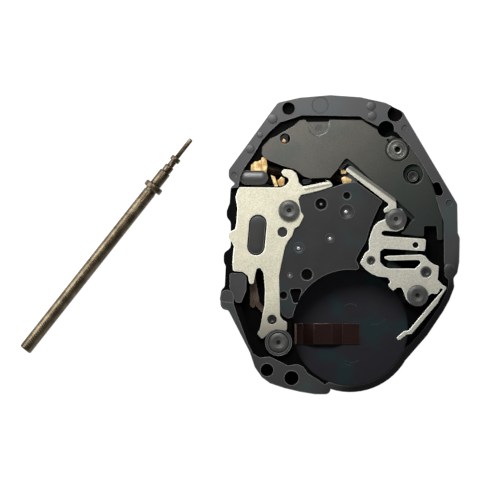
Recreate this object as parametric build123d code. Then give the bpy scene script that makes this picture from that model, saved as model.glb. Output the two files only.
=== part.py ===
from build123d import *
import math
import os

os.makedirs("parts", exist_ok=True)

# A small three-hand quartz watch movement, seen and worked on from its back.
# Millimetres. The origin is on the hands' axis, in the plane that the dial rests on,
# +Z points out of the back and +X points away from the stem's side.

# Case: overall plan size, then the levels, counted up from the dial seat
case_width = 14.4
case_length = 18.05
rim_height = 2.70
motion_recess_depth = 0.24
motion_cavity_depth = 0.70
mid_floor_thickness = 0.30
train_height = 1.15
bridge_thickness = 0.30
cover_shelf_height = 0.15
cover_thickness = 0.20
plate_thickness = 0.18

floor_level = motion_cavity_depth + mid_floor_thickness
deck_level = floor_level + train_height
plate_level = deck_level + bridge_thickness
cover_level = deck_level + cover_shelf_height
plate_top = plate_level + plate_thickness
cover_top = cover_level + cover_thickness
cut_top = rim_height + plate_top

# Fits and small allowances
overrun = 0.20
running_clearance = 0.02
press_gap = 0.005
pocket_clearance = 0.08
edge_radius = 0.12
mark_depth = 0.03

# Places and outlines are read off the reference picture in its own pixels, and `place`
# turns them into millimetres: these are the pixel of the hands' axis and the pixels
# that the case spans across and down.
hands_axis_pixel = (330.1, 238.6)
case_span_pixels = (240.0, 300.8)
pixel_size = case_width / case_span_pixels[0]
straight_corner_angle = 176
corner_side_share = 0.45

# Button cell and its recess
battery_radius = 3.40
battery_clearance = 0.10
recess_floor_thickness = 0.30
recess_wall = 0.33
recess_radius = battery_radius + battery_clearance
recess_pixel = (350, 328)

# Gear train: counts of teeth, modules, and the direction from each wheel to the next
rotor_leaves = 8
fifth_teeth = 48
fifth_leaves = 10
second_teeth = 50
second_leaves = 6
third_teeth = 60
third_leaves = 10
centre_teeth = 60
cannon_leaves = 12
minute_teeth = 36
minute_leaves = 8
hour_teeth = 32
setting_teeth = 10
rotor_module = 0.056
fifth_module = 0.0625
second_module = 0.060
cannon_module = 0.0708
fifth_direction = 59.4
rotor_direction = 162.8
third_direction = 196.9
minute_direction = 180.0
setting_direction = 177.0
tip_height_share = 0.95
root_depth_share = 1.25
root_half_width_share = 0.31
tip_half_width_share = 0.13
clutch_teeth = 18

# Wheels, arbors and pipes
wheel_thickness = 0.10
wheel_gap = 0.10
pinion_overhang = 0.04
pivot_radius = 0.06
arbor_radius = 0.12
slim_arbor_radius = 0.07
pivot_depth = 0.20
visible_pivot_radius = 0.10
crossing_count = 4
crossing_radius_share = 0.22
crossing_place_share = 0.60
second_post_radius = 0.10
minute_post_radius = 0.35
hour_post_radius = 0.60
post_shoulder = 0.02
second_post_length = 1.85
minute_post_length = 1.50
hour_post_length = 1.05
hour_seat_length = 0.60
motion_wheel_thickness = 0.12
motion_gap = 0.08
stud_radius = 0.14
motion_cover_thickness = 0.10
motion_cover_margin = 0.45
motion_screw_head_radius = 0.36
motion_screw_radius = 0.16
motion_screw_length = 0.40
motion_screw_slot = 0.08

# Motor: rotor magnet, stator, coil on its core
magnet_radius = 0.50
magnet_thickness = 0.26
stator_thickness = 0.30
stator_bore_radius = 0.62
stator_ring_radius = 1.00
stator_limb_half_width = 0.34
core_thickness = 0.25
core_width = 0.50
core_tab_length = 0.80
core_tab_width = 0.80
coil_radius = 0.42
coil_crown = 0.03
coil_left_pixel = (263.5, 169)
coil_right_pixel = (345, 178)
coil_clearance = 0.06

# Electronics
board_thickness = 0.15
chip_size = 1.20
chip_thickness = 0.40
crystal_radius = 0.55
crystal_length = 4.30
crystal_lead_radius = 0.08
crystal_lead_length = 0.45
board_drop = 0.20

# Keyless works: stem line, clutch, levers
stem_line_pixel = 237.0
stem_height = 1.10
stem_bore_radius = 0.37
clutch_radius = 0.42
clutch_length = 0.75
clutch_groove_radius = 0.28
clutch_groove_width = 0.18
clutch_bore_radius = 0.21
clutch_travel = 0.34
clutch_bite = 0.17
lever_thickness = 0.14
lever_half_width = 0.16
lever_pin_radius = 0.19
lever_gap = 0.05
lever_swing = 6.5
yoke_swing = 10.0
stop_swing = 3.4
stop_lever_thickness = 0.20
stop_lever_half_width = 0.13
stop_hub_radius = 0.26
stop_lever_reach = 2.25
stop_lever_direction = 8.0
stop_tail_reach = 1.25
stop_tail_direction = 182.0

# Fasteners
rivet_head_radius = 0.64
rivet_head_height = 0.30
rivet_shank_radius = 0.26
rivet_shank_length = 0.75
rivet_dimple_radius = 0.15
rivet_dimple_depth = 0.16
rivet_edge = 0.10
bush_radius = 0.63
bush_height = 0.22
bush_bore_radius = 0.16
bush_shank_radius = 0.34
bush_shank_length = 0.80
collar_wall = 0.13
collared_rivet_drop = 0.36
dial_foot_radius = 0.40
dial_foot_depth = 1.25

# Battery strip
strip_thickness = 0.08
strip_rise = 0.26
strip_width = 1.25
strip_top = 2.10
strip_crest_share = 0.45
strip_gap = 0.03
strip_line_drop = 0.36
strip_bump_start = 2.82
strip_bump_end = 0.42
strip_end = 0.60

# Winding stem, from its threaded tail to its square tip
thread_radius = 0.40
thread_length = 12.30
thread_runout = 0.18
thread_relief_radius = 0.36
flange_radius = 0.585
flange_length = 0.36
bearing_radius = 0.35
bearing_length = 1.00
shoulder_radius = 0.285
shoulder_length = 0.45
neck_radius = 0.20
neck_length = 0.35
button_radius = 0.31
button_length = 0.30
square_side = 0.27
square_length = 1.40
stem_end_chamfer = 0.06
stem_flange_pixel = (153, 187)
stem_direction = 51.7

# Outlines in pixels, read round each piece
case_outline_pixels = [
    (278, 103), (300, 98), (330, 95.5), (360, 97.5), (385, 103), (402, 111), (457, 204), (457.5, 233),
    (459.5, 238), (459, 262), (457, 273), (453, 278), (454, 287), (449, 300), (443, 311), (427, 335),
    (400, 366), (365, 384), (331, 384.5), (329.5, 394), (315, 394), (300, 391.5), (285, 388), (270, 383),
    (262, 377), (255, 367), (250, 352), (229, 311), (222, 306), (220, 299), (221.5, 290), (225, 287),
    (226, 266), (224, 262), (224, 253), (231, 248), (231, 222), (227, 217), (227, 211), (230, 203),
    (231, 187), (236, 184), (229, 178), (229, 170)]
deck_outline_pixels = [
    (244, 168), (253, 155), (262, 140), (270, 131), (280, 122), (290, 119), (302, 115), (360, 116),
    (366, 120), (380, 127), (397, 132), (410, 146), (420, 160), (430, 177), (434.5, 186), (437, 200),
    (440, 210), (444, 222), (444.5, 262), (445, 276), (449, 280), (447, 292), (440, 306), (424, 329),
    (410, 345), (400, 352), (360, 358), (325, 385), (318, 380), (308, 374), (303, 367), (297, 364.5),
    (288, 366), (280, 362), (270, 357), (260, 358), (253, 354), (247, 342), (236, 312), (233, 303),
    (216, 301), (216, 190), (238, 187), (240, 176)]
cover_outline_pixels = [
    (300, 120), (306, 119.5), (306, 121.5), (329, 121.5), (329, 119.5), (362, 120), (378, 130),
    (392, 136), (403, 138), (413, 150), (420, 160), (427, 172), (432, 183), (436, 195), (438, 205),
    (442, 215), (443, 222), (443, 240), (437, 240), (437, 226), (424, 226), (424, 237), (408, 235),
    (400, 234), (404, 231), (411, 221), (415, 217.5), (396, 200), (375, 184), (351, 161), (347, 158),
    (344, 160), (337, 170), (330, 178), (310, 178.5), (303, 176), (295, 169.5), (283, 166), (270, 161),
    (265, 158), (261.5, 154), (262, 147), (270, 138.5), (276, 136), (281, 133), (293, 126)]
shelf_outline_pixels = [
    (303, 123), (361, 123.5), (377, 133), (402, 141), (411, 152), (424, 174), (431, 190), (435, 206),
    (439, 220), (439, 238), (438, 238), (436, 224), (420, 224), (400, 204), (376, 187), (348, 163),
    (338, 173), (329, 176), (306, 175), (296, 167), (272, 159), (266, 154), (267, 147), (283, 136)]
spring_plate_pixels = [
    (239, 187), (281, 187.5), (286, 185), (289, 181), (288, 178), (283, 175.5), (281, 172), (284, 169),
    (292, 170), (296, 173), (298, 178), (299, 183), (303, 186.5), (330, 181.5), (333.5, 186),
    (320, 190.5), (301, 195), (298.5, 199), (301, 212), (304, 216), (299, 226), (294.5, 228.5),
    (292, 236), (288, 241), (285, 247), (281, 265), (279, 276), (279.5, 296), (280, 316), (283, 320),
    (287, 322), (287, 331), (276, 329.5), (270, 332), (262, 339.5), (257, 334), (260, 329), (262, 318),
    (264.5, 305), (265, 290), (263.5, 273), (260, 267.5), (256.5, 269), (255.3, 274), (253.5, 284),
    (249.5, 284), (248, 276), (243, 272), (233, 271), (232.5, 262), (234, 246), (231, 240.5),
    (228, 238), (228, 233), (231.5, 231), (235.5, 229), (236.5, 222), (237.5, 208), (235.5, 197)]
power_plate_pixels = [
    (385, 219), (390, 208), (402, 209), (407, 220), (403, 229), (397, 231.5), (384, 230.5),
    (380.5, 233), (384, 236), (426, 239), (425, 251), (384, 248.5), (380, 251.5), (380, 262),
    (384, 266.5), (389, 268.5), (415, 268.5), (421, 263), (419, 260), (389, 260.5), (385, 258.7),
    (384, 257), (388, 255.8), (421, 254.5), (425, 256), (429, 261), (434, 264.5), (439, 266),
    (438, 277), (437.5, 279.5), (443, 285), (437, 294), (431, 293.5), (427, 297), (424, 303),
    (417, 306), (410, 303.5), (406, 299), (404, 293), (401.5, 287.5), (397, 287.5), (393, 291),
    (388, 285.5), (390.5, 282), (388, 277.5), (378, 276.5), (372, 274), (366, 270), (360, 263),
    (365, 253), (369, 250), (369, 240), (371.5, 232), (374, 226), (378, 222)]
long_arm_pixels = [
    (345, 170), (350, 165.5), (353, 167), (396, 199), (396.5, 212), (388, 212), (384, 213),
    (383.5, 209), (390, 204.5), (385, 201)]
spring_arm_pixels = [
    (441, 284), (447.5, 287.5), (440, 298.5), (438, 303), (411.5, 334), (406.5, 334.5), (399, 340.5),
    (396, 338), (404, 331), (408.5, 330.5), (433, 301), (444, 289), (439, 288)]
bridge_outline_pixels = [
    (299, 198), (303, 195), (331, 188), (345, 183), (356, 181.5), (383, 201.5), (379, 207), (374, 218),
    (370, 228), (366, 242), (361, 250), (356, 260), (360, 268), (340, 280), (300, 312), (293, 317),
    (288, 318.5), (283, 316), (279, 308), (271, 298), (267, 283), (267, 240), (270, 222), (280, 203),
    (290, 198.5)]
board_outline_pixels = [
    (270, 152), (272, 148.5), (300, 155.5), (360, 156.5), (369, 153), (371, 137), (378, 138.5),
    (384, 141), (392, 141), (402, 143), (410, 153), (420, 170), (427, 187), (431, 205), (433, 219),
    (422, 222), (419, 245), (414, 268), (388, 268), (387, 262.5), (404, 260), (409, 240), (412, 221),
    (396, 205), (352, 166), (346, 164), (336, 168), (300, 166.5), (284, 161)]
left_terminal_pixels = [
    (256, 163), (261, 157.5), (269, 161), (274, 172), (284, 176.5), (287, 181), (284, 185.5),
    (272, 186), (269.5, 177), (266, 169), (255, 169)]
right_terminal_pixels = [(336, 181), (339, 177.5), (350, 177), (353, 179), (351, 184), (343, 184.5)]
plus_seat_pixels = [
    [(372, 234), (379, 234), (378.5, 269), (372, 271), (363, 263.5), (369, 252), (371, 240)],
    [(391, 271), (436, 269), (435, 280), (429, 290), (409, 290), (402, 285), (392, 284)]]
spring_seat_pixels = [
    [(240, 190), (279, 190), (277, 200), (264, 212), (240, 213)],
    [(236, 256), (257, 258), (257, 266), (243, 270.5), (236, 270)],
    [(264, 322), (283, 322), (283, 329), (270, 330), (263, 334)]]
wedge_pixels = [(230, 273.5), (242, 273.5), (246, 277), (246, 290), (241, 302.5), (236, 302), (230, 288)]
oblong_boss_pixels = [(246.5, 177.5), (261, 177.5)]
oblong_boss_radius = 0.40
pill_pixels = [(258, 223.5), (256, 246.5)]
pill_slot_radius = 0.53
pill_boss_radius = 0.44
lever_well_pixels = [
    (238, 242), (264, 242), (264, 290), (263, 306), (262, 318), (270, 333), (262, 340), (250, 332),
    (241, 306), (236, 290), (235, 262)]
arm_channel_pixels = [
    (404, 300), (410, 306), (424, 306), (430, 298), (444, 283), (449, 284), (446, 294), (439, 306),
    (423, 328), (409, 344), (396, 342)]
arm_channel_depth = 1.10
window_pixels = [(382, 251), (423, 252), (421, 264), (415, 268), (388, 268), (382, 264)]
window_depth = 0.70
right_window_pixels = [(425, 227), (437, 227), (437, 264), (427, 262), (427, 240), (425, 240)]
corner_notch_pixels = [(391, 104), (395, 103), (399, 114), (395, 116)]
arm_block_pixels = [(302, 179.5), (311, 179.5), (311, 182), (304, 184.5)]
lug_pixels = [(227, 296.5), (227, 303.5)]
lug_radius = 0.38
arm_rib_pixels = [(305, 188), (330, 183)]
spring_leaf_drop = 0.35
lever_elbow_pixel = (257, 303)
lever_tip_pixel = (248.5, 250)
yoke_heel_pixel = (253, 305)

# Round features, as across, down and radius in pixels
deep_hole_pixels = [(386, 129, 8.5)]
blind_hole_pixels = [(291.5, 378, 7.5), (395, 114, 8)]
dimple_pixels = [(234, 175, 3), (404.5, 128.5, 3.5), (449, 203, 3.5)]
ejector_pixels = [(320, 105, 8), (272.5, 119, 5), (260, 135, 2.5), (371, 106, 4.5), (372, 116, 4.5),
                  (449, 269, 5)]
dial_foot_pixels = [(288.5, 108.5), (267, 370)]
rivet_pixels = [(289, 210.5), (396, 219), (417.5, 295.5), (278.5, 342.5)]
bush_pixel = (397.5, 149.5)
bush_slot_pixel = (388, 140)
cover_recess_pixel = (413, 174, 10)
cover_stud_pixel = (413, 176.5, 5)
cover_hole_pixel = (285, 138.5, 5.2)
hook_post_pixel = (318.5, 128, 2.8)
flap_pixels = [(307, 120), (329.5, 120), (329, 127), (325, 133), (318.5, 136.5), (312, 133), (307.5, 127)]
board_hole_pixel = (386, 129, 9.5)
plus_stud_pixels = [(371, 260.5, 3.6), (426, 272, 4.8)]
finger_hole_pixel = (415.5, 245, 3)
plate_hole_pixel = (282.5, 232, 5)
lever_pivot_pixel = (272, 319.5)
yoke_pivot_pixel = (252, 275)
stop_pivot_pixel = (289.9, 275.5)
slot_hole_pixels = [(436.5, 186), (439, 192)]
slot_hole_radius = 0.26
rim_step_pixel = (250, 149, 4)
bridge_blind_pixels = [(346.9, 195.6, 3.7), (306.9, 274.5, 5.8), (283.4, 295.3, 4)]
bridge_gap_pixels = [(290.5, 289), (300.5, 288.5), (301.5, 291.5), (297.5, 303), (293.5, 303), (290, 292)]
rotor_window_radius = 0.35
fifth_sink_radius = 0.42
third_sink_radius = 0.24
sink_depth = 0.12
blind_depth = 0.90
shallow_depth = 0.22
motion_screw_pixels = [(303, 198), (290, 282)]
crystal_pixel = (331, 142)
chip_pixel = (380, 165)


def place(pixel):
    # millimetres from the hands' axis for a pixel of the picture
    across = (pixel[0] - hands_axis_pixel[0]) / case_span_pixels[0]
    up = (hands_axis_pixel[1] - pixel[1]) / case_span_pixels[1]
    return (across * case_width, up * case_length)


def step_from(start, distance, direction):
    turn = math.radians(direction)
    return (start[0] + distance * math.cos(turn), start[1] + distance * math.sin(turn))


def rounded_face(corners, corner_radius):
    # a flat face through the corners, each rounded as far as its sides allow
    corners = [Vector(*corner) for corner in corners]
    arcs = []
    for index, corner in enumerate(corners):
        back = corners[index - 1] - corner
        ahead = corners[(index + 1) % len(corners)] - corner
        half_angle = math.radians(back.get_angle(ahead)) / 2
        if math.degrees(half_angle) * 2 > straight_corner_angle:
            arcs.append((corner, corner, corner))
            continue
        side = min(back.length, ahead.length) * corner_side_share
        reach = min(corner_radius / math.tan(half_angle), side)
        radius = reach * math.tan(half_angle)
        inward = (back.normalized() + ahead.normalized()).normalized()
        middle = corner + inward * (radius / math.sin(half_angle) - radius)
        arcs.append((corner + back.normalized() * reach, middle, corner + ahead.normalized() * reach))
    edges = []
    for index, (start, middle, end) in enumerate(arcs):
        if (end - start).length > 0:
            edges.append(ThreePointArc(start, middle, end))
        edges.append(Line(end, arcs[(index + 1) % len(arcs)][0]))
    return Face(Wire(edges))


def raise_face(face, bottom, top):
    return extrude(Pos(0, 0, bottom) * face, amount=top - bottom, dir=(0, 0, 1))


def slab(pixels, bottom, top, corner_radius=edge_radius):
    return raise_face(rounded_face([place(pixel) for pixel in pixels], corner_radius), bottom, top)


def disc(centre, radius, bottom, top):
    return Pos(centre[0], centre[1], bottom) * Cylinder(
        radius, top - bottom, align=(Align.CENTER, Align.CENTER, Align.MIN))


def pixel_disc(spot, bottom, top):
    return disc(place(spot), spot[2] * pixel_size, bottom, top)


def bar(start, end, half_width, bottom, top):
    # a flat bar with round ends between two places
    run = Vector(*end) - Vector(*start)
    middle = ((start[0] + end[0]) / 2, (start[1] + end[1]) / 2)
    body = Pos(middle[0], middle[1], bottom) * Rot(0, 0, math.degrees(math.atan2(run.Y, run.X))) * Box(
        run.length, half_width * 2, top - bottom, align=(Align.CENTER, Align.CENTER, Align.MIN))
    return body + [disc(start, half_width, bottom, top), disc(end, half_width, bottom, top)]


def toothed_wheel(centre, teeth, module, turn, bottom, top):
    # tooth flanks are straight, from a wide root to a narrow tip
    pitch_radius = teeth * module / 2
    root = pitch_radius - root_depth_share * module
    tip = pitch_radius + tip_height_share * module
    pitch_angle = 360 / teeth
    points = []
    for tooth in range(teeth):
        middle = turn + tooth * pitch_angle
        for radius, share in ((root, -root_half_width_share), (tip, -tip_half_width_share),
                              (tip, tip_half_width_share), (root, root_half_width_share)):
            points.append(step_from(centre, radius, middle + share * pitch_angle))
    return raise_face(Face(Wire([Line(points[index - 1], points[index]) for index in range(len(points))])),
                      bottom, top)


def meshed_turn(first_turn, first_teeth, direction, second_teeth):
    # the turn that sets a second wheel's gap against the first wheel's tooth
    phase = (direction - first_turn) * first_teeth / 360
    return direction + 180 + (phase - 0.5) * 360 / second_teeth


def crossed_wheel(centre, teeth, module, turn, bottom, bore_radius):
    # a train wheel with a bore and a ring of lightening holes
    top = bottom + wheel_thickness
    wheel = toothed_wheel(centre, teeth, module, turn, bottom, top)
    pitch_radius = teeth * module / 2
    cuts = [disc(centre, bore_radius, bottom - overrun, top + overrun)]
    for index in range(crossing_count):
        spot = step_from(centre, pitch_radius * crossing_place_share, turn + index * 360 / crossing_count)
        cuts.append(disc(spot, pitch_radius * crossing_radius_share, bottom - overrun, top + overrun))
    return wheel - cuts


def arbor(centre, steps):
    # a turned arbor from its lowest step up, each step a radius with its lower and upper level
    return Part() + [disc(centre, radius, low, high) for radius, low, high in steps]


def seat_taper(seat_radius, bottom, top):
    # a hand post widens a little above its seat, so that the hand stops there
    return Pos(0, 0, bottom) * Cone(seat_radius, seat_radius + post_shoulder, top - bottom,
                                    align=(Align.CENTER, Align.CENTER, Align.MIN))


def wheel_tip(teeth, module):
    return teeth * module / 2 + tip_height_share * module


# Centres of the train, each a mesh distance from the one before
hands_centre = (0, 0)
fifth_centre = step_from(hands_centre, fifth_module * (fifth_leaves + second_teeth) / 2, fifth_direction)
rotor_centre = step_from(fifth_centre, rotor_module * (rotor_leaves + fifth_teeth) / 2, rotor_direction)
third_distance = second_module * (second_leaves + third_teeth) / 2
third_centre = step_from(hands_centre, third_distance, third_direction)
centre_module = 2 * third_distance / (third_leaves + centre_teeth)
minute_distance = cannon_module * (cannon_leaves + minute_teeth) / 2
minute_centre = step_from(hands_centre, minute_distance, minute_direction)
hour_module = 2 * minute_distance / (minute_leaves + hour_teeth)
setting_centre = step_from(minute_centre, cannon_module * (minute_teeth + setting_teeth) / 2,
                           setting_direction)

# Levels of the wheels, stacked from the floor up and, on the dial side, from the ceiling down
stator_top = floor_level + stator_thickness
centre_wheel_level = stator_top + wheel_gap / 2
fifth_wheel_level = centre_wheel_level + wheel_thickness + wheel_gap
third_wheel_level = fifth_wheel_level + wheel_thickness + wheel_gap
second_wheel_level = third_wheel_level + wheel_thickness + wheel_gap
minute_wheel_level = motion_cavity_depth - motion_gap - motion_wheel_thickness
hour_wheel_level = minute_wheel_level - motion_gap - motion_wheel_thickness
motion_cover_level = motion_recess_depth - motion_cover_thickness

# The clutch, slid fully in, stops just short of the setting wheel's rim
setting_wheel_top = stem_height - clutch_radius + clutch_bite
clutch_end = setting_centre[0] - wheel_tip(setting_teeth, cannon_module) - running_clearance
clutch_start = clutch_end - clutch_travel - clutch_length

# Other places that several pieces share
recess_centre = place(recess_pixel)
stem_line = place((0, stem_line_pixel))[1]
coil_left = place(coil_left_pixel)
coil_right = place(coil_right_pixel)
coil_run = Vector(*coil_right) - Vector(*coil_left)
coil_turn = math.degrees(math.atan2(coil_run.Y, coil_run.X))
coil_axis_level = stator_top + core_thickness / 2
left_tab_centre = step_from(coil_left, core_tab_length / 2, coil_turn + 180)
right_tab_centre = step_from(coil_right, core_tab_length / 2, coil_turn)
lever_pivot = place(lever_pivot_pixel)
yoke_pivot = place(yoke_pivot_pixel)
stop_pivot = place(stop_pivot_pixel)
yoke_level = floor_level + lever_gap
lever_level = yoke_level + lever_thickness + lever_gap
stop_lever_level = second_wheel_level - wheel_gap / 2
board_level = cover_level - board_drop - board_thickness
crystal_centre = place(crystal_pixel)
crystal_level = floor_level + crystal_radius + lever_gap
chip_centre = place(chip_pixel)
rivet_centres = [place(pixel) for pixel in rivet_pixels]
rivet_levels = [plate_top, plate_top, plate_top, plate_top - collared_rivet_drop]


def stator_shape(grow, bottom, top):
    # a ring round the rotor with a limb to each end of the coil's core
    left_elbow = (left_tab_centre[0], rotor_centre[1] + stator_ring_radius)
    right_elbow = (right_tab_centre[0], rotor_centre[1] + stator_ring_radius - stator_limb_half_width)
    width = stator_limb_half_width + grow
    shape = disc(rotor_centre, stator_ring_radius + grow, bottom, top)
    shape += bar(rotor_centre, left_elbow, width, bottom, top)
    shape += bar(left_elbow, left_tab_centre, width, bottom, top)
    shape += bar(rotor_centre, right_elbow, width, bottom, top)
    return shape + bar(right_elbow, right_tab_centre, width, bottom, top)


def coil_frame(height):
    # a location on the coil's axis, with X along the coil
    middle = ((coil_left[0] + coil_right[0]) / 2, (coil_left[1] + coil_right[1]) / 2)
    return Pos(middle[0], middle[1], height) * Rot(0, 0, coil_turn)


def core_tabs(grow, height):
    # the core's widened ends, one on each stator limb
    return [Pos(centre[0], centre[1], stator_top) * Rot(0, 0, coil_turn) * Box(
        core_tab_length - coil_clearance + grow, core_tab_width + grow, height,
        align=(Align.CENTER, Align.CENTER, Align.MIN)) for centre in (left_tab_centre, right_tab_centre)]


def battery_well(radius, bottom, top):
    return disc(recess_centre, radius, bottom, top)


def motion_cover_shape(grow, bottom, top):
    # the dial-side cover: round about the hands, long over the minute and setting wheels
    reach = wheel_tip(hour_teeth, hour_module) + motion_cover_margin + grow
    shape = disc(hands_centre, reach, bottom, top)
    shape += bar(minute_centre, setting_centre, wheel_tip(minute_teeth, cannon_module) + grow, bottom, top)
    for pixel in motion_screw_pixels:
        shape += bar(hands_centre, place(pixel), motion_screw_head_radius + press_gap + grow, bottom, top)
    return shape


def setting_lever_outline(grow, bottom, top):
    # a bent arm from the pin to an elbow beside the plate's leg and on to the stem
    elbow = place(lever_elbow_pixel)
    width = lever_half_width + grow
    lever = bar(lever_pivot, elbow, width, bottom, top)
    lever += bar(elbow, place(lever_tip_pixel), width, bottom, top)
    return lever + disc(lever_pivot, lever_pin_radius + width, bottom, top)


def yoke_outline(grow, bottom, top):
    # one arm up to the clutch, with a narrow tip in its groove, and a short heel
    groove = clutch_start + clutch_groove_width * 1.5
    neck = (groove, stem_line - clutch_radius - lever_half_width * 2)
    width = lever_half_width + grow
    yoke = bar(yoke_pivot, neck, width, bottom, top)
    yoke += bar(yoke_pivot, place(yoke_heel_pixel), width, bottom, top)
    tip_width = clutch_groove_width - running_clearance * 2 + grow * 2
    tip_length = lever_half_width * 2 + clutch_radius - clutch_groove_radius - lever_gap
    return yoke + Pos(groove, neck[1], bottom) * Box(tip_width, tip_length, top - bottom,
                                                     align=(Align.CENTER, Align.MIN, Align.MIN))


def stop_lever_outline(grow, bottom, top):
    # one arm lies beside the second wheel's rim, the other reaches the setting lever's side
    rim_tip = step_from(stop_pivot, stop_lever_reach, stop_lever_direction)
    tail_tip = step_from(stop_pivot, stop_tail_reach, stop_tail_direction)
    width = stop_lever_half_width + grow
    lever = disc(stop_pivot, stop_hub_radius + grow, bottom, top)
    lever += bar(stop_pivot, rim_tip, width, bottom, top)
    return lever + bar(stop_pivot, tail_tip, width, bottom, top)


def make_main_plate():
    plate = slab(case_outline_pixels, 0, rim_height, edge_radius * 3)
    plate += battery_well(recess_radius + recess_wall, 0, rim_height)
    plate -= slab(deck_outline_pixels, deck_level, cut_top)
    plate += [slab(shelf_outline_pixels, floor_level, cover_level)]
    plate += [slab(pixels, floor_level, plate_level) for pixels in plus_seat_pixels + spring_seat_pixels]
    plate += [disc(centre, rivet_head_radius, floor_level, plate_level) for centre in rivet_centres[1:3]]
    # wells for the motor, levers and battery
    wells = [
        stator_shape(pocket_clearance, floor_level, cut_top),
        slab(lever_well_pixels, floor_level, cut_top),
        slab(arm_channel_pixels, rim_height - arm_channel_depth, cut_top),
        slab(window_pixels, plate_level - window_depth, cut_top),
        slab(right_window_pixels, plate_level - window_depth, cut_top),
        battery_well(recess_radius, recess_floor_thickness, cut_top)]
    plate -= wells + lever_wells() + coil_well() + component_wells()
    plate += raised_details()
    plate -= train_wells()
    plate -= stem_and_rivet_bores() + rim_details() + dial_side_cavities()
    plate += studs()
    return plate


def swung(shape, pivot, angle):
    return Pos(*pivot) * Rot(0, 0, angle) * Pos(-pivot[0], -pivot[1]) * shape


def train_wells():
    # a round well for each large wheel
    wheels = [(hands_centre, wheel_tip(centre_teeth, centre_module)),
              (third_centre, wheel_tip(third_teeth, second_module)),
              (fifth_centre, wheel_tip(fifth_teeth, rotor_module))]
    return [disc(centre, tip + pocket_clearance, floor_level, cut_top) for centre, tip in wheels]


def lever_wells():
    # each lever has room at both ends of its swing and halfway
    room = pocket_clearance
    wells = []
    for share in (0, 1 / 2, 1):
        wells.append(swung(setting_lever_outline(room, floor_level, cut_top), lever_pivot,
                           lever_swing * share))
        wells.append(swung(yoke_outline(room, floor_level, cut_top), yoke_pivot, -yoke_swing * share))
        wells.append(swung(stop_lever_outline(room, stop_lever_level - lever_gap, cut_top), stop_pivot,
                           stop_swing * share))
    return wells


def coil_well():
    length = coil_run.length + coil_clearance * 2
    reach = coil_radius + coil_crown + coil_clearance
    lift = coil_axis_level - reach
    barrel = coil_frame(lift) * Box(length, reach * 2, rim_height,
                                    align=(Align.CENTER, Align.CENTER, Align.MIN))
    return [barrel] + core_tabs(pocket_clearance, rim_height)


def component_wells():
    # beds for the crystal, the chip, the circuit board and the coil's terminals
    reach = crystal_radius + lever_gap
    crystal_length_over_leads = crystal_length + crystal_lead_length * 2
    crystal_bed = Pos(crystal_centre[0], crystal_centre[1], crystal_level - reach) * Box(
        crystal_length_over_leads, reach * 2, rim_height, align=(Align.CENTER, Align.CENTER, Align.MIN))
    chip_bed = Pos(chip_centre[0], chip_centre[1], board_level - chip_thickness - lever_gap) * Box(
        chip_size + pocket_clearance, chip_size + pocket_clearance, rim_height,
        align=(Align.CENTER, Align.CENTER, Align.MIN))
    board_bed = slab(board_outline_pixels, board_level, cut_top)
    terminals = [slab(pixels, board_level, cut_top)
                 for pixels in (left_terminal_pixels, right_terminal_pixels)]
    return [crystal_bed, chip_bed, board_bed] + terminals


def raised_details():
    # bosses that stand up through the sheet plates, the block beside them and the rivet's collar
    boss_ends = [place(pixel) for pixel in oblong_boss_pixels]
    pill_ends = [place(pixel) for pixel in pill_pixels]
    lug_ends = [place(pixel) for pixel in lug_pixels]
    collar_radius = rivet_head_radius + running_clearance
    collar_top = plate_level + collar_wall
    collar = disc(rivet_centres[3], collar_radius + collar_wall, recess_floor_thickness, collar_top)
    collar -= disc(rivet_centres[3], collar_radius, rivet_levels[3], collar_top + overrun)
    clutch_roof = stem_height + clutch_radius + lever_gap
    return [
        bar(boss_ends[0], boss_ends[1], oblong_boss_radius, deck_level - overrun, plate_level),
        bar(pill_ends[0], pill_ends[1], pill_boss_radius, clutch_roof, plate_level + plate_thickness / 2),
        bar(lug_ends[0], lug_ends[1], lug_radius, deck_level - overrun, plate_top),
        slab(wedge_pixels, deck_level - overrun, plate_level),
        slab(arm_block_pixels, deck_level - overrun, cover_level),
        collar]


def stem_and_rivet_bores():
    # the stem's bore from the case's edge, the clutch's chamber, and the bores of pins and rivets
    outer_edge = place((case_outline_pixels[0][0], 0))[0] - case_width
    clutch_room = clutch_radius + lever_gap
    bore = Pos(outer_edge, stem_line, stem_height) * Rot(0, 90, 0) * Cylinder(
        stem_bore_radius, clutch_start - outer_edge, align=(Align.CENTER, Align.CENTER, Align.MIN))
    chamber = Pos(clutch_start - lever_gap, stem_line, stem_height) * Box(
        clutch_length + clutch_travel + lever_gap * 2, clutch_room * 2, clutch_room * 2,
        align=(Align.MIN, Align.CENTER, Align.CENTER))
    bores = [bore, chamber]
    for centre, level in zip(rivet_centres, rivet_levels):
        bores.append(disc(centre, rivet_shank_radius + press_gap, level - rivet_shank_length - press_gap,
                          level + press_gap))
    bush_centre = place(bush_pixel)
    bores.append(disc(bush_centre, bush_shank_radius + press_gap,
                      cover_level - bush_shank_length - press_gap, cut_top))
    bores.append(disc(lever_pivot, lever_pin_radius + press_gap, motion_cavity_depth, rim_height))
    pivots = [(fifth_centre, pivot_radius), (rotor_centre, pivot_radius), (third_centre, pivot_radius)]
    for centre, radius in pivots:
        bores.append(disc(centre, radius + running_clearance, floor_level - pivot_depth - lever_gap,
                          floor_level + overrun))
    bores.append(disc(yoke_pivot, pivot_radius + running_clearance, floor_level - pivot_depth,
                      floor_level + overrun))
    bores.append(disc(hands_centre, minute_post_radius + post_shoulder + running_clearance, 0,
                      floor_level + overrun))
    return bores


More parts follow.
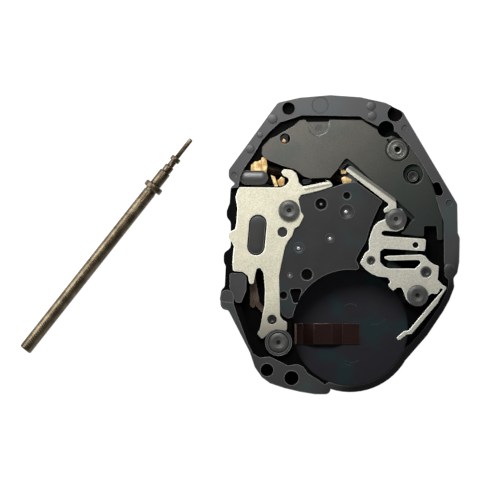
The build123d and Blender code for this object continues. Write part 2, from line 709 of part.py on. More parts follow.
def rim_details():
    # dial-foot holes, rim holes, the slot, dimples and the moulding marks; a web stays in the
    # middle of each dial-foot hole, between the dial's side and the open pocket on the back
    cuts = [disc(place(pixel), dial_foot_radius, -overrun, dial_foot_depth) for pixel in dial_foot_pixels]
    cuts += [disc(place(pixel), dial_foot_radius, rim_height - blind_depth, cut_top)
             for pixel in dial_foot_pixels]
    cuts += [pixel_disc(spot, recess_floor_thickness, cut_top) for spot in deep_hole_pixels]
    cuts += [pixel_disc(spot, rim_height - blind_depth, cut_top) for spot in blind_hole_pixels]
    cuts += [pixel_disc(spot, rim_height - mark_depth * 3, cut_top) for spot in dimple_pixels]
    cuts += [pixel_disc(spot, rim_height - mark_depth, cut_top) for spot in ejector_pixels]
    cuts.append(pixel_disc(rim_step_pixel, rim_height - mark_depth * 2, cut_top))
    cuts.append(slab(corner_notch_pixels, rim_height - blind_depth, cut_top, 0))
    slot_ends = [place(pixel) for pixel in slot_hole_pixels]
    cuts.append(bar(slot_ends[0], slot_ends[1], slot_hole_radius, floor_level, cut_top))
    return cuts


def dial_side_cavities():
    # rooms for the hour, minute and setting wheels, and the bed of their cover
    room = pocket_clearance
    cavities = [
        disc(hands_centre, wheel_tip(hour_teeth, hour_module) + room, -overrun, motion_cavity_depth),
        disc(minute_centre, wheel_tip(minute_teeth, cannon_module) + room, -overrun, motion_cavity_depth),
        disc(setting_centre, wheel_tip(setting_teeth, cannon_module) + room, -overrun,
             setting_wheel_top + lever_gap),
        motion_cover_shape(running_clearance, -overrun, motion_recess_depth)]
    for pixel in motion_screw_pixels:
        cavities.append(disc(place(pixel), motion_screw_radius + press_gap, -overrun,
                             motion_recess_depth + motion_screw_length))
    return cavities


def studs():
    # moulded studs: wheel studs on the dial side, locating studs through the plates and the cover
    low = motion_cover_level + motion_cover_thickness + press_gap
    found = [disc(minute_centre, stud_radius, low, motion_cavity_depth + lever_gap),
             disc(setting_centre, stud_radius, low, setting_wheel_top + lever_gap * 2)]
    found += [pixel_disc(spot, deck_level, plate_top) for spot in plus_stud_pixels]
    found.append(pixel_disc(cover_stud_pixel, board_level - overrun, cover_level + cover_thickness / 2))
    found.append(pixel_disc(hook_post_pixel, board_level - overrun, cover_level + cover_thickness / 2))
    return found


def make_train_bridge():
    bridge = slab(bridge_outline_pixels, deck_level, plate_level)
    low = deck_level - overrun
    top = plate_level + overrun
    pivot_hole = visible_pivot_radius + running_clearance
    cuts = [battery_well(recess_radius, low, top),
            disc(rivet_centres[0], rivet_shank_radius + press_gap, low, top),
            disc(rotor_centre, pivot_radius + running_clearance, low, top),
            disc(rotor_centre, rotor_window_radius, plate_level - shallow_depth, top),
            disc(stop_pivot, pivot_radius + running_clearance, low, top)]
    for centre in (fifth_centre, hands_centre, third_centre):
        cuts.append(disc(centre, pivot_hole, low, top))
    for centre, radius in ((fifth_centre, fifth_sink_radius), (third_centre, third_sink_radius)):
        cuts.append(Pos(centre[0], centre[1], plate_level - sink_depth) * Cone(
            pivot_hole, radius, sink_depth + press_gap, align=(Align.CENTER, Align.CENTER, Align.MIN)))
    cuts += [pixel_disc(spot, plate_level - shallow_depth, top) for spot in bridge_blind_pixels]
    cuts.append(slab(bridge_gap_pixels, low, top))
    return bridge - cuts


def make_circuit_cover():
    low = cover_level - overrun
    top = cover_top + overrun
    cover = slab(cover_outline_pixels, cover_level, cover_top)
    bush_centre = place(bush_pixel)
    clear_ring = bush_radius + pocket_clearance
    cuts = [pixel_disc(spot, low, top) for spot in deep_hole_pixels + [cover_hole_pixel]]
    cuts.append(disc(bush_centre, clear_ring, cover_level + cover_thickness / 2, top))
    cuts.append(disc(bush_centre, bush_shank_radius + pocket_clearance, low, top))
    cuts.append(bar(bush_centre, place(bush_slot_pixel), pocket_clearance, low, top))
    cuts.append(pixel_disc(cover_recess_pixel, low, top))
    post = hook_post_pixel
    cuts.append(disc(place(post), post[2] * pixel_size + press_gap, low, top))
    # a flap round the moulded post is pressed down to half the sheet
    cuts.append(slab(flap_pixels, cover_level + cover_thickness / 2, top))
    return cover - cuts


def make_spring_plate():
    low = plate_level - overrun
    top = plate_top + overrun
    plate = slab(spring_plate_pixels, plate_level, plate_top)
    pill_ends = [place(pixel) for pixel in pill_pixels]
    cuts = [bar(pill_ends[0], pill_ends[1], pill_slot_radius, low, top),
            pixel_disc(plate_hole_pixel, low, top),
            disc(rivet_centres[0], rivet_shank_radius + press_gap, low, top),
            disc(lever_pivot, lever_pin_radius + pocket_clearance, low, top)]
    plate -= cuts
    # the arm over the coil's edge is bent up along its length
    rib_ends = [place(pixel) for pixel in arm_rib_pixels]
    return plate + bar(rib_ends[0], rib_ends[1], mark_depth * 2, plate_level, plate_top + plate_thickness)


def make_power_plate():
    low = plate_level - overrun
    top = plate_top + overrun
    plate = slab(power_plate_pixels, plate_level, plate_top)
    plate += slab(long_arm_pixels, plate_level, plate_top)
    plate += slab(spring_arm_pixels, plate_level - spring_leaf_drop, plate_top)
    cuts = [pixel_disc(finger_hole_pixel, low, top)]
    cuts += [disc(place(spot), spot[2] * pixel_size + running_clearance * 2, low, top)
             for spot in plus_stud_pixels]
    cuts += [disc(centre, rivet_shank_radius + press_gap, low, top) for centre in rivet_centres[1:3]]
    return plate - cuts


def make_minus_strip():
    # a folded strip: up the recess wall, along its floor, with a springy bump under the cell
    wall_reach = math.sqrt(recess_radius ** 2 - (strip_line_drop + strip_width / 2) ** 2)
    start = recess_centre[0] - wall_reach + strip_gap
    bump_start = recess_centre[0] - strip_bump_start
    bump_end = recess_centre[0] - strip_bump_end
    end = recess_centre[0] + strip_end
    low = recess_floor_thickness
    high = low + strip_thickness
    bump_middle = (bump_start + bump_end) / 2
    crest = (bump_middle - bump_start) * strip_crest_share
    profile = [
        (start, low), (bump_start, low), (bump_middle - crest, low + strip_rise),
        (bump_middle + crest, low + strip_rise), (bump_end, low), (end, low), (end, high),
        (bump_end, high), (bump_middle + crest, high + strip_rise),
        (bump_middle - crest, high + strip_rise), (bump_start, high), (start + strip_thickness, high),
        (start + strip_thickness, strip_top), (start, strip_top)]
    face = Plane.XZ * rounded_face(profile, strip_thickness)
    strip = extrude(face, amount=strip_width / 2, both=True)
    return Pos(0, recess_centre[1] - strip_line_drop, 0) * strip


def make_circuit_board():
    board = slab(board_outline_pixels, board_level, board_level + board_thickness,
                 edge_radius)
    bush_centre = place(bush_pixel)
    cuts = [disc(bush_centre, bush_shank_radius + pocket_clearance, 0, rim_height),
            pixel_disc(board_hole_pixel, 0, rim_height)]
    cuts.append(disc(place(cover_stud_pixel), cover_stud_pixel[2] * pixel_size + pocket_clearance,
                     0, rim_height))
    return board - cuts


def make_chip():
    return Pos(chip_centre[0], chip_centre[1], board_level) * Box(
        chip_size, chip_size, chip_thickness, align=(Align.CENTER, Align.CENTER, Align.MAX))


def make_crystal():
    # a metal can on its side with two leads out of its board end
    can = Pos(crystal_centre[0], crystal_centre[1], crystal_level) * Rot(0, 90, 0) * Cylinder(
        crystal_radius, crystal_length)
    can = fillet(can.edges().filter_by(GeomType.CIRCLE), edge_radius)
    for side in (-1, 1):
        root = Pos(crystal_centre[0] + crystal_length / 2, crystal_centre[1] + side * crystal_radius / 2,
                   crystal_level)
        lead = Rot(0, 90, 0) * Cylinder(crystal_lead_radius, crystal_lead_length,
                                        align=(Align.CENTER, Align.CENTER, Align.MIN))
        riser = Pos(crystal_lead_length - crystal_lead_radius, 0, 0) * Cylinder(
            crystal_lead_radius, board_level - crystal_level,
            align=(Align.CENTER, Align.CENTER, Align.MIN))
        can += [root * lead, root * riser]
    return can


def make_stator():
    stator = stator_shape(0, floor_level, stator_top)
    return stator - disc(rotor_centre, stator_bore_radius, 0, rim_height)


def make_coil_core():
    # a flat bar through the winding, widened to a tab on each stator limb
    core = coil_frame(stator_top) * Box(
        coil_run.length + core_tab_length, core_width, core_thickness,
        align=(Align.CENTER, Align.CENTER, Align.MIN))
    return core + core_tabs(0, core_thickness)


def make_coil_winding():
    # the wound wire as one slightly crowned barrel about the core
    half = coil_run.length / 2 - coil_clearance
    edge = coil_radius
    arc = ThreePointArc((-half, edge), (0, edge + coil_crown), (half, edge))
    sides = Polyline((half, edge), (half, 0), (-half, 0), (-half, edge))
    barrel = revolve(make_face([arc, sides]), axis=Axis.X)
    opening = Box(coil_run.length * 2, core_width + press_gap * 2, core_thickness + press_gap * 2)
    return coil_frame(coil_axis_level) * (barrel - opening)


def make_coil_terminals():
    high = board_level + board_thickness
    return [slab(pixels, board_level, high) for pixels in (left_terminal_pixels, right_terminal_pixels)]


def make_rivet(centre, level):
    # a formed head, rounded at its edge and dimpled in the middle, on a plain shank
    head = Pos(centre[0], centre[1], level) * Cylinder(
        rivet_head_radius, rivet_head_height, align=(Align.CENTER, Align.CENTER, Align.MIN))
    head = fillet(head.edges().sort_by(Axis.Z)[-1], rivet_edge)
    head -= Pos(centre[0], centre[1], level + rivet_head_height - rivet_dimple_depth) * Cone(
        rivet_dimple_radius / 2, rivet_dimple_radius, rivet_dimple_depth,
        align=(Align.CENTER, Align.CENTER, Align.MIN))
    return head + disc(centre, rivet_shank_radius, level - rivet_shank_length, level)


def make_cover_bush():
    centre = place(bush_pixel)
    level = cover_level + cover_thickness / 2
    bush = disc(centre, bush_radius, level, level + bush_height)
    bush = fillet(bush.edges().sort_by(Axis.Z)[-1], rivet_edge / 2)
    bush += disc(centre, bush_shank_radius, cover_level - bush_shank_length, level)
    return bush - disc(centre, bush_bore_radius, cover_level - bush_shank_length / 2, rim_height * 2)


def make_lever_pin():
    return disc(lever_pivot, lever_pin_radius, motion_cavity_depth, plate_top)


def make_motion_cover():
    cover = motion_cover_shape(0, motion_cover_level, motion_recess_depth)
    cuts = [disc(hands_centre, hour_post_radius + post_shoulder + pocket_clearance, -overrun, rim_height)]
    cuts += [disc(place(pixel), motion_screw_radius + press_gap, -overrun, rim_height)
             for pixel in motion_screw_pixels]
    return cover - cuts


def make_motion_screw(centre):
    head_bottom = running_clearance
    screw = disc(centre, motion_screw_head_radius, head_bottom, motion_cover_level)
    screw += disc(centre, motion_screw_radius, motion_cover_level,
                  motion_recess_depth + motion_screw_length - press_gap)
    slot = Pos(centre[0], centre[1], head_bottom) * Box(
        motion_screw_head_radius * 3, motion_screw_slot, motion_screw_slot)
    return screw - slot


# The train: turns of the wheels, so that each pair is in mesh at rest
rotor_back_direction = rotor_direction + 180
rotor_turn = rotor_back_direction
fifth_wheel_turn = meshed_turn(rotor_turn, rotor_leaves, rotor_back_direction, fifth_teeth)
second_wheel_turn = fifth_direction
fifth_pinion_turn = meshed_turn(second_wheel_turn, second_teeth, fifth_direction, fifth_leaves)
second_pinion_turn = third_direction
third_wheel_turn = meshed_turn(second_pinion_turn, second_leaves, third_direction, third_teeth)
centre_wheel_turn = third_direction
third_pinion_turn = meshed_turn(centre_wheel_turn, centre_teeth, third_direction, third_leaves)
cannon_turn = minute_direction
minute_wheel_turn = meshed_turn(cannon_turn, cannon_leaves, minute_direction, minute_teeth)
hour_turn = minute_direction
minute_pinion_turn = meshed_turn(hour_turn, hour_teeth, minute_direction, minute_leaves)
setting_turn = meshed_turn(minute_wheel_turn, minute_teeth, setting_direction, setting_teeth)


def pinion(centre, teeth, module, turn, wheel_level):
    # a pinion as long as the wheel that it drives, and a little over on both sides
    return toothed_wheel(centre, teeth, module, turn, wheel_level - pinion_overhang,
                         wheel_level + wheel_thickness + pinion_overhang)


def make_rotor():
    magnet_level = floor_level + (stator_thickness - magnet_thickness) / 2
    magnet = disc(rotor_centre, magnet_radius, magnet_level, magnet_level + magnet_thickness)
    magnet -= disc(rotor_centre, arbor_radius + press_gap, 0, rim_height)
    staff = arbor(rotor_centre, [
        (pivot_radius, floor_level - pivot_depth, magnet_level),
        (arbor_radius, magnet_level, second_wheel_level),
        (pivot_radius, second_wheel_level, plate_level - shallow_depth)])
    staff += pinion(rotor_centre, rotor_leaves, rotor_module, rotor_turn, fifth_wheel_level)
    return magnet, staff


def make_fifth():
    wheel = crossed_wheel(fifth_centre, fifth_teeth, rotor_module, fifth_wheel_turn, fifth_wheel_level,
                          arbor_radius + press_gap)
    staff = arbor(fifth_centre, [
        (pivot_radius, floor_level - pivot_depth, floor_level + running_clearance),
        (slim_arbor_radius, floor_level + running_clearance, fifth_wheel_level - wheel_gap / 2),
        (arbor_radius, fifth_wheel_level - wheel_gap / 2, deck_level - running_clearance),
        (visible_pivot_radius, deck_level - running_clearance, plate_level - running_clearance)])
    staff += pinion(fifth_centre, fifth_leaves, fifth_module, fifth_pinion_turn, second_wheel_level)
    return wheel, staff


def make_second():
    wheel = crossed_wheel(hands_centre, second_teeth, fifth_module, second_wheel_turn, second_wheel_level,
                          second_post_radius + post_shoulder + press_gap)
    staff = arbor(hands_centre, [
        (second_post_radius, -second_post_length, -minute_post_length),
        (second_post_radius + post_shoulder, 0, deck_level - running_clearance),
        (visible_pivot_radius, deck_level - running_clearance, plate_level - running_clearance)])
    staff += seat_taper(second_post_radius, -minute_post_length, 0)
    staff += pinion(hands_centre, second_leaves, second_module, second_pinion_turn, third_wheel_level)
    return wheel, staff


def make_third():
    wheel = crossed_wheel(third_centre, third_teeth, second_module, third_wheel_turn, third_wheel_level,
                          arbor_radius + press_gap)
    staff = arbor(third_centre, [
        (pivot_radius, floor_level - pivot_depth, floor_level + running_clearance),
        (arbor_radius, floor_level + running_clearance, deck_level - running_clearance),
        (visible_pivot_radius, deck_level - running_clearance, plate_level - running_clearance)])
    staff += pinion(third_centre, third_leaves, centre_module, third_pinion_turn, centre_wheel_level)
    return wheel, staff


def make_centre():
    # the centre wheel grips the cannon pinion's pipe, whose lower end carries the minute hand
    wheel = crossed_wheel(hands_centre, centre_teeth, centre_module, centre_wheel_turn,
                          centre_wheel_level, minute_post_radius + post_shoulder + press_gap)
    pipe = arbor(hands_centre, [
        (minute_post_radius, -minute_post_length, -hour_post_length),
        (minute_post_radius + post_shoulder, 0, centre_wheel_level + wheel_thickness + pinion_overhang)])
    pipe += seat_taper(minute_post_radius, -hour_post_length, 0)
    pipe += toothed_wheel(hands_centre, cannon_leaves, cannon_module, cannon_turn,
                          minute_wheel_level - pinion_overhang,
                          minute_wheel_level + motion_wheel_thickness + pinion_overhang)
    pipe -= disc(hands_centre, second_post_radius + post_shoulder + running_clearance, -rim_height,
                 rim_height)
    return wheel, pipe


def make_minute_wheel():
    wheel = toothed_wheel(minute_centre, minute_teeth, cannon_module, minute_wheel_turn,
                          minute_wheel_level, minute_wheel_level + motion_wheel_thickness)
    wheel += toothed_wheel(minute_centre, minute_leaves, hour_module, minute_pinion_turn,
                           hour_wheel_level - pinion_overhang, minute_wheel_level)
    return wheel - disc(minute_centre, stud_radius + running_clearance, -overrun, rim_height)


def make_hour_wheel():
    wheel = toothed_wheel(hands_centre, hour_teeth, hour_module, hour_turn, hour_wheel_level,
                          hour_wheel_level + motion_wheel_thickness)
    seat_end = hour_seat_length - hour_post_length
    wheel += disc(hands_centre, hour_post_radius, -hour_post_length, seat_end)
    wheel += seat_taper(hour_post_radius, seat_end, hour_wheel_level)
    return wheel - disc(hands_centre, minute_post_radius + post_shoulder + running_clearance, -rim_height,
                        rim_height)


def make_setting_wheel():
    wheel = toothed_wheel(setting_centre, setting_teeth, cannon_module, setting_turn,
                          minute_wheel_level, setting_wheel_top)
    return wheel - disc(setting_centre, stud_radius + running_clearance, -overrun, rim_height)


def make_clutch_wheel():
    # a grooved sleeve on the stem's line with face teeth at its inner end
    groove_start = clutch_groove_width
    groove_end = clutch_groove_width * 2
    crown_start = clutch_length - clutch_groove_width
    module = 2 * clutch_radius / (clutch_teeth + 2 * tip_height_share)
    body = disc((0, 0), clutch_radius, 0, groove_start)
    body += disc((0, 0), clutch_groove_radius, groove_start, groove_end)
    body += disc((0, 0), clutch_radius, groove_end, crown_start)
    body += toothed_wheel((0, 0), clutch_teeth, module, 0, crown_start, clutch_length)
    body -= disc((0, 0), clutch_bore_radius, -overrun, clutch_length + overrun)
    return Pos(clutch_start, stem_line, stem_height) * Rot(0, 90, 0) * body


def make_setting_lever():
    lever = setting_lever_outline(0, lever_level, lever_level + lever_thickness)
    return lever - disc(lever_pivot, lever_pin_radius + running_clearance, 0, rim_height)


def make_yoke():
    # the yoke turns on a pivot of its own in the floor
    yoke = yoke_outline(0, yoke_level, yoke_level + lever_thickness)
    return yoke + disc(yoke_pivot, pivot_radius, floor_level - pivot_depth + lever_gap, yoke_level)


def make_stop_lever():
    lever = stop_lever_outline(0, stop_lever_level, stop_lever_level + stop_lever_thickness)
    return lever + disc(stop_pivot, pivot_radius, stop_lever_level, plate_level - running_clearance)


def make_stem():
    # turned along X from the threaded tail, then laid on the table beside the movement
    lengths = [(flange_radius, flange_length), (bearing_radius, bearing_length),
               (shoulder_radius, shoulder_length), (neck_radius, neck_length),
               (button_radius, button_length)]
    full_thread = thread_length - thread_runout
    stem = disc((0, 0), thread_radius, 0, full_thread)
    stem += Pos(0, 0, full_thread) * Cone(thread_radius, thread_relief_radius, thread_runout,
                                          align=(Align.CENTER, Align.CENTER, Align.MIN))
    reached = thread_length
    for radius, length in lengths:
        stem += disc((0, 0), radius, reached, reached + length)
        reached += length
    stem += Pos(0, 0, reached) * Box(square_side, square_side, square_length,
                                     align=(Align.CENTER, Align.CENTER, Align.MIN))
    tail_edge = stem.edges().filter_by(GeomType.CIRCLE).sort_by(Axis.Z)[0]
    stem = chamfer(tail_edge, stem_end_chamfer)
    flange_middle = thread_length + flange_length / 2
    droop = math.degrees(math.atan2(flange_radius - thread_radius, thread_length))
    spot = place(stem_flange_pixel)
    return Pos(spot[0], spot[1], flange_radius - second_post_length) * Rot(0, 0, stem_direction) * Rot(
        0, -droop, 0) * Pos(-flange_middle, 0, 0) * Rot(0, 90, 0) * stem


def write(name, *solids):
    shape = solids[0] if len(solids) == 1 else Compound(children=list(solids))
    export_step(shape, f"parts/{name}.step")
    print(name, round(shape.volume, 4))


write("main_plate", make_main_plate())
write("train_bridge", make_train_bridge())
write("circuit_cover", make_circuit_cover())
write("setting_spring_plate", make_spring_plate())
write("battery_plus_plate", make_power_plate())
write("battery_minus_strip", make_minus_strip())
write("circuit_board", make_circuit_board())
write("circuit_chip", make_chip())
write("quartz_crystal", make_crystal())
write("stator", make_stator())
write("coil_core", make_coil_core())
write("coil_winding", make_coil_winding())
write("coil_terminals", *make_coil_terminals())
write("plate_rivets", *[make_rivet(centre, level) for centre, level in zip(rivet_centres, rivet_levels)])
write("cover_bush", make_cover_bush())
write("lever_pin", make_lever_pin())
write("motion_cover", make_motion_cover())
write("motion_cover_screws", *[make_motion_screw(place(pixel)) for pixel in motion_screw_pixels])
rotor_magnet, rotor_pinion = make_rotor()
write("rotor_magnet", rotor_magnet)
write("rotor_pinion", rotor_pinion)
fifth_wheel, fifth_pinion = make_fifth()
write("fifth_wheel", fifth_wheel)
write("fifth_pinion", fifth_pinion)
second_wheel, second_pinion = make_second()
write("second_wheel", second_wheel)
write("second_pinion", second_pinion)
third_wheel, third_pinion = make_third()
write("third_wheel", third_wheel)
write("third_pinion", third_pinion)
centre_wheel, cannon_pinion = make_centre()
write("centre_wheel", centre_wheel)
write("cannon_pinion", cannon_pinion)
write("minute_wheel", make_minute_wheel())
write("hour_wheel", make_hour_wheel())
write("setting_wheel", make_setting_wheel())
write("clutch_wheel", make_clutch_wheel())
write("setting_lever", make_setting_lever())
write("clutch_yoke", make_yoke())
write("stop_lever", make_stop_lever())
write("winding_stem", make_stem())
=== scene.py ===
import math

import bmesh
import bpy
from mathutils import Matrix, Vector


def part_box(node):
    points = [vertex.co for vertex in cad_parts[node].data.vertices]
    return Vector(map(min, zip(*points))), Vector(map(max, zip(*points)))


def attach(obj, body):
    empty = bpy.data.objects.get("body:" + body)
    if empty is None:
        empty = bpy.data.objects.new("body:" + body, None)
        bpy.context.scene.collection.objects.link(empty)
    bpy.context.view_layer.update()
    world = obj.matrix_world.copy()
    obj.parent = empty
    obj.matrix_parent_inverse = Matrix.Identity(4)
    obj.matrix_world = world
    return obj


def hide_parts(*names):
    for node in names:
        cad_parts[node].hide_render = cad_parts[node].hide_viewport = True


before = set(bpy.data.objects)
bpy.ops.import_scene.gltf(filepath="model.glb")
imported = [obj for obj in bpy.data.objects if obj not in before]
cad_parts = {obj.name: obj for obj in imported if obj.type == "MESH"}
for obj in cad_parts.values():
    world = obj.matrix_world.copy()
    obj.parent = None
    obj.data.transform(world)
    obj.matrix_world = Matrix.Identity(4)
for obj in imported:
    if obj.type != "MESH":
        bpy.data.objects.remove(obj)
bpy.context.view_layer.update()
print("stage: frame loaded")

# The picture's scale, from the plate's width and length, and levels above the dial seat in millimetres
mm = 0.001
plate = {"width": 14.4, "length": 18.05, "pixelsWide": 240.0, "pixelsLong": 300.8,
         "handsAxis": (330.1, 238.6)}
acrossPerPixel = plate["width"] / plate["pixelsWide"] * mm
upPerPixel = plate["length"] / plate["pixelsLong"] * mm
levels = {"rim": 2.70, "pad": 2.63, "bridge": 2.45, "cover": 2.40, "leftSheet": 2.27, "table": -1.85}


def place(pixel, level=0.0):
    return Vector(((pixel[0] - plate["handsAxis"][0]) * acrossPerPixel,
                   (plate["handsAxis"][1] - pixel[1]) * upPerPixel, level * mm))


# Node trees: sockets with operators, and one method for any node
class Wire:
    def __init__(self, graph, socket):
        self.graph = graph
        self.socket = socket

    def __add__(self, other):
        return self.graph.maths("ADD", self, other)

    def __radd__(self, other):
        return self.graph.maths("ADD", other, self)

    def __sub__(self, other):
        return self.graph.maths("SUBTRACT", self, other)

    def __rsub__(self, other):
        return self.graph.maths("SUBTRACT", other, self)

    def __mul__(self, other):
        return self.graph.maths("MULTIPLY", self, other)

    def __rmul__(self, other):
        return self.graph.maths("MULTIPLY", other, self)


class Tree:
    def __init__(self, tree):
        self.tree = tree

    def link(self, value, target):
        if isinstance(value, Wire):
            self.tree.links.new(value.socket, target)
        elif target.type == "RGBA":
            target.default_value = (*value, 1.0)
        else:
            target.default_value = value

    def node(self, kind, settings=None, sockets=None):
        made = self.tree.nodes.new(kind)
        for key, value in (settings or {}).items():
            setattr(made, key, value)
        for key, value in (sockets or {}).items():
            self.link(value, made.inputs[key])
        return made

    def out(self, kind, socket, settings=None, sockets=None):
        return Wire(self, self.node(kind, settings, sockets).outputs[socket])

    def maths(self, operation, first, second, clamp=False):
        return self.out("ShaderNodeMath", 0, {"operation": operation, "use_clamp": clamp},
                        {0: first, 1: second})


# Painted shade in corners and bores: how much sky is seen in the open and where it is dark, and
# the rays that test it
creviceShadeLook = {"open": 0.80, "closed": 0.30, "samples": 6}


class Graph(Tree):
    def __init__(self, name):
        self.material = bpy.data.materials.new(name)
        self.material.use_nodes = True
        super().__init__(self.material.node_tree)
        self.tree.nodes.clear()

    def blend(self, factor, first, second):
        # 6 and 7 are the Mix node's colour sockets
        return self.out("ShaderNodeMix", 2, {"data_type": "RGBA"}, {"Factor": factor, 6: first, 7: second})

    def place(self):
        return self.out("ShaderNodeTexCoord", "Object")

    def height(self):
        return self.out("ShaderNodeSeparateXYZ", "Z", None, {0: self.place()})

    def shifted(self, offset):
        return self.out("ShaderNodeVectorMath", 0, {"operation": "ADD"}, {0: self.place(), 1: offset})

    def stretched(self, scale, turn):
        return self.out("ShaderNodeMapping", "Vector", None, {
            "Vector": self.place(), "Scale": scale, "Rotation": (0.0, 0.0, turn)})

    def noise(self, size, detail=2.0, rough=0.5, where=None):
        return self.out("ShaderNodeTexNoise", "Fac", None, {
            "Vector": where or self.place(), "Scale": 1.0 / size, "Detail": detail, "Roughness": rough})

    def swing(self, noise, amount):
        # a noise about its middle
        return (noise - 0.5) * amount

    def cells(self, size):
        return self.out("ShaderNodeTexVoronoi", "Distance", None, {
            "Vector": self.place(), "Scale": 1.0 / size})

    def ramp(self, value, low, high):
        return self.out("ShaderNodeMapRange", "Result", {"interpolation_type": "SMOOTHSTEP"}, {
            "Value": value, "From Min": low, "From Max": high})

    def edge(self):
        # the share of wear and painted highlight that `rounded` writes on each piece's edges
        return self.out("ShaderNodeAttribute", "Fac", {"attribute_name": "edgeWearAndHighlight"})

    def creviceShaded(self, base, values):
        # paints shade into corners, bores and grooves narrower than the reach
        sky = self.out("ShaderNodeAmbientOcclusion", "AO", {
            "samples": creviceShadeLook["samples"], "only_local": True}, {"Distance": values["crevice"]})
        closed = self.ramp(sky, creviceShadeLook["open"], creviceShadeLook["closed"])
        return self.blend(closed * values["creviceShadeShare"], base, values["creviceShadeTone"])

    def paintedShade(self, values):
        # painted shade that grows along one way, between two distances from the hands' axis
        along = self.out("ShaderNodeVectorMath", "Value", {"operation": "DOT_PRODUCT"}, {
            0: self.place(), 1: values["paintedShadeAlong"]})
        return self.ramp(along, values["paintedShadeFrom"], values["paintedShadeTo"]) * values["paintedShadeShare"]

    def bump(self, height, distance):
        return self.out("ShaderNodeBump", 0, None, {"Height": height, "Distance": distance})

    def show(self, surface):
        self.node("ShaderNodeOutputMaterial", None, {"Surface": surface})
        return self.material

    def finish(self, sockets):
        return self.show(self.out("ShaderNodeBsdfPrincipled", 0, None, sockets))


lineCorners = 6  # of the section of any thin line or wire


class Shape(Tree):
    # a Geometry Nodes tree with named inputs, ended by `close`
    def __init__(self, name, inputs):
        super().__init__(bpy.data.node_groups.new(name, "GeometryNodeTree"))
        face = self.tree.interface
        face.new_socket("Geometry", in_out="INPUT", socket_type="NodeSocketGeometry")
        for label, kind in inputs.items():
            face.new_socket(label, in_out="INPUT", socket_type="NodeSocket" + kind)
        face.new_socket("Geometry", in_out="OUTPUT", socket_type="NodeSocketGeometry")
        self.given = self.node("NodeGroupInput")

    def input(self, label):
        return Wire(self, self.given.outputs[label])

    def attribute(self, name):
        return self.out("GeometryNodeInputNamedAttribute", 0, {"data_type": "FLOAT"}, {"Name": name})

    def circle(self, corners, radius):
        return self.out("GeometryNodeCurvePrimitiveCircle", 0, None, {
            "Resolution": corners, "Radius": radius})

    def swept(self, curve, radius):
        # a round line along a curve
        return self.out("GeometryNodeCurveToMesh", 0, None, {
            "Curve": curve, "Profile Curve": self.circle(lineCorners, radius), "Fill Caps": True})

    def strewn(self, instance, sockets, points=None):
        # an instance on each point, by default on those of the mesh that comes in
        dots = points or self.out("GeometryNodeMeshToPoints", 0, None, {0: self.input("Geometry")})
        return self.out("GeometryNodeInstanceOnPoints", 0, None, {
            "Points": dots, "Instance": instance, **sockets})

    def close(self, geometry, material):
        solid = self.out("GeometryNodeRealizeInstances", 0, None, {0: geometry})
        made = self.out("GeometryNodeSetMaterial", 0, None, {"Geometry": solid, "Material": material})
        self.link(made, self.node("NodeGroupOutput").inputs[0])


# Moulded plastic: fine grain, faint flow marks, dust, a sheen that the deep places lack; painted shade in
# the deep places, towards the lower right and in crevices; edges of wear and painted highlight
def mouldedPlastic(name, values):
    graph = Graph(name)
    grain = graph.noise(values["grain"], detail=3.0, rough=0.6)
    flow = graph.noise(values["flow"], detail=4.0, rough=0.55)
    dust = graph.ramp(graph.cells(values["dustSpacing"]), *values["dustSize"])
    dusty = graph.ramp(graph.noise(values["dustPatch"]), *values["dustBand"])
    tinge = graph.ramp(graph.noise(values["tingePatch"], detail=1.0), *values["tingeBand"])
    tinge = tinge * values["tingeShare"]
    specks = dust * dusty * values["dust"]
    raised = graph.ramp(graph.height(), values["deep"], values["high"])
    paintedShade = graph.paintedShade(values)
    base = graph.blend(graph.ramp(flow, *values["flowBand"]), values["dark"], values["light"])
    base = graph.blend(tinge, base, values["tinge"])
    base = graph.blend(paintedShade, base, values["paintedShadeTone"])
    # painted shade: the deep places take the dark shade tone
    base = graph.blend(1.0 - raised, base, values["shade"])
    # edges lighter: wear and a painted highlight
    wornAndHighlight = graph.edge() * (raised * (1.0 - values["deepWearAndHighlight"]) + values["deepWearAndHighlight"])
    base = graph.blend(wornAndHighlight * values["wearAndHighlight"], base, values["wornAndHighlight"])
    bedded = graph.ramp(graph.height(), values["bed"] + values["bedFade"], values["bed"])
    inside = graph.ramp(graph.height(), -values["bedFade"], 0.0)
    base = graph.blend(bedded * inside, base, graph.blend(tinge, values["bedTone"], values["bedTinge"]))
    base = graph.blend(specks, base, values["dustTone"])
    rough = (values["rough"] + graph.swing(flow, values["roughSpread"])
             + graph.swing(grain, values["roughGrain"]) + specks * values["roughDust"])
    return graph.finish({
        "Base Color": graph.creviceShaded(base, values), "Roughness": rough, "IOR": 1.5,
        "Specular IOR Level": values["specular"], "Coat Weight": raised * (1.0 - paintedShade) * values["coat"],
        "Coat Roughness": values["coatRough"], "Coat IOR": values["coatIor"],
        "Normal": graph.bump(grain + specks, values["bump"])})


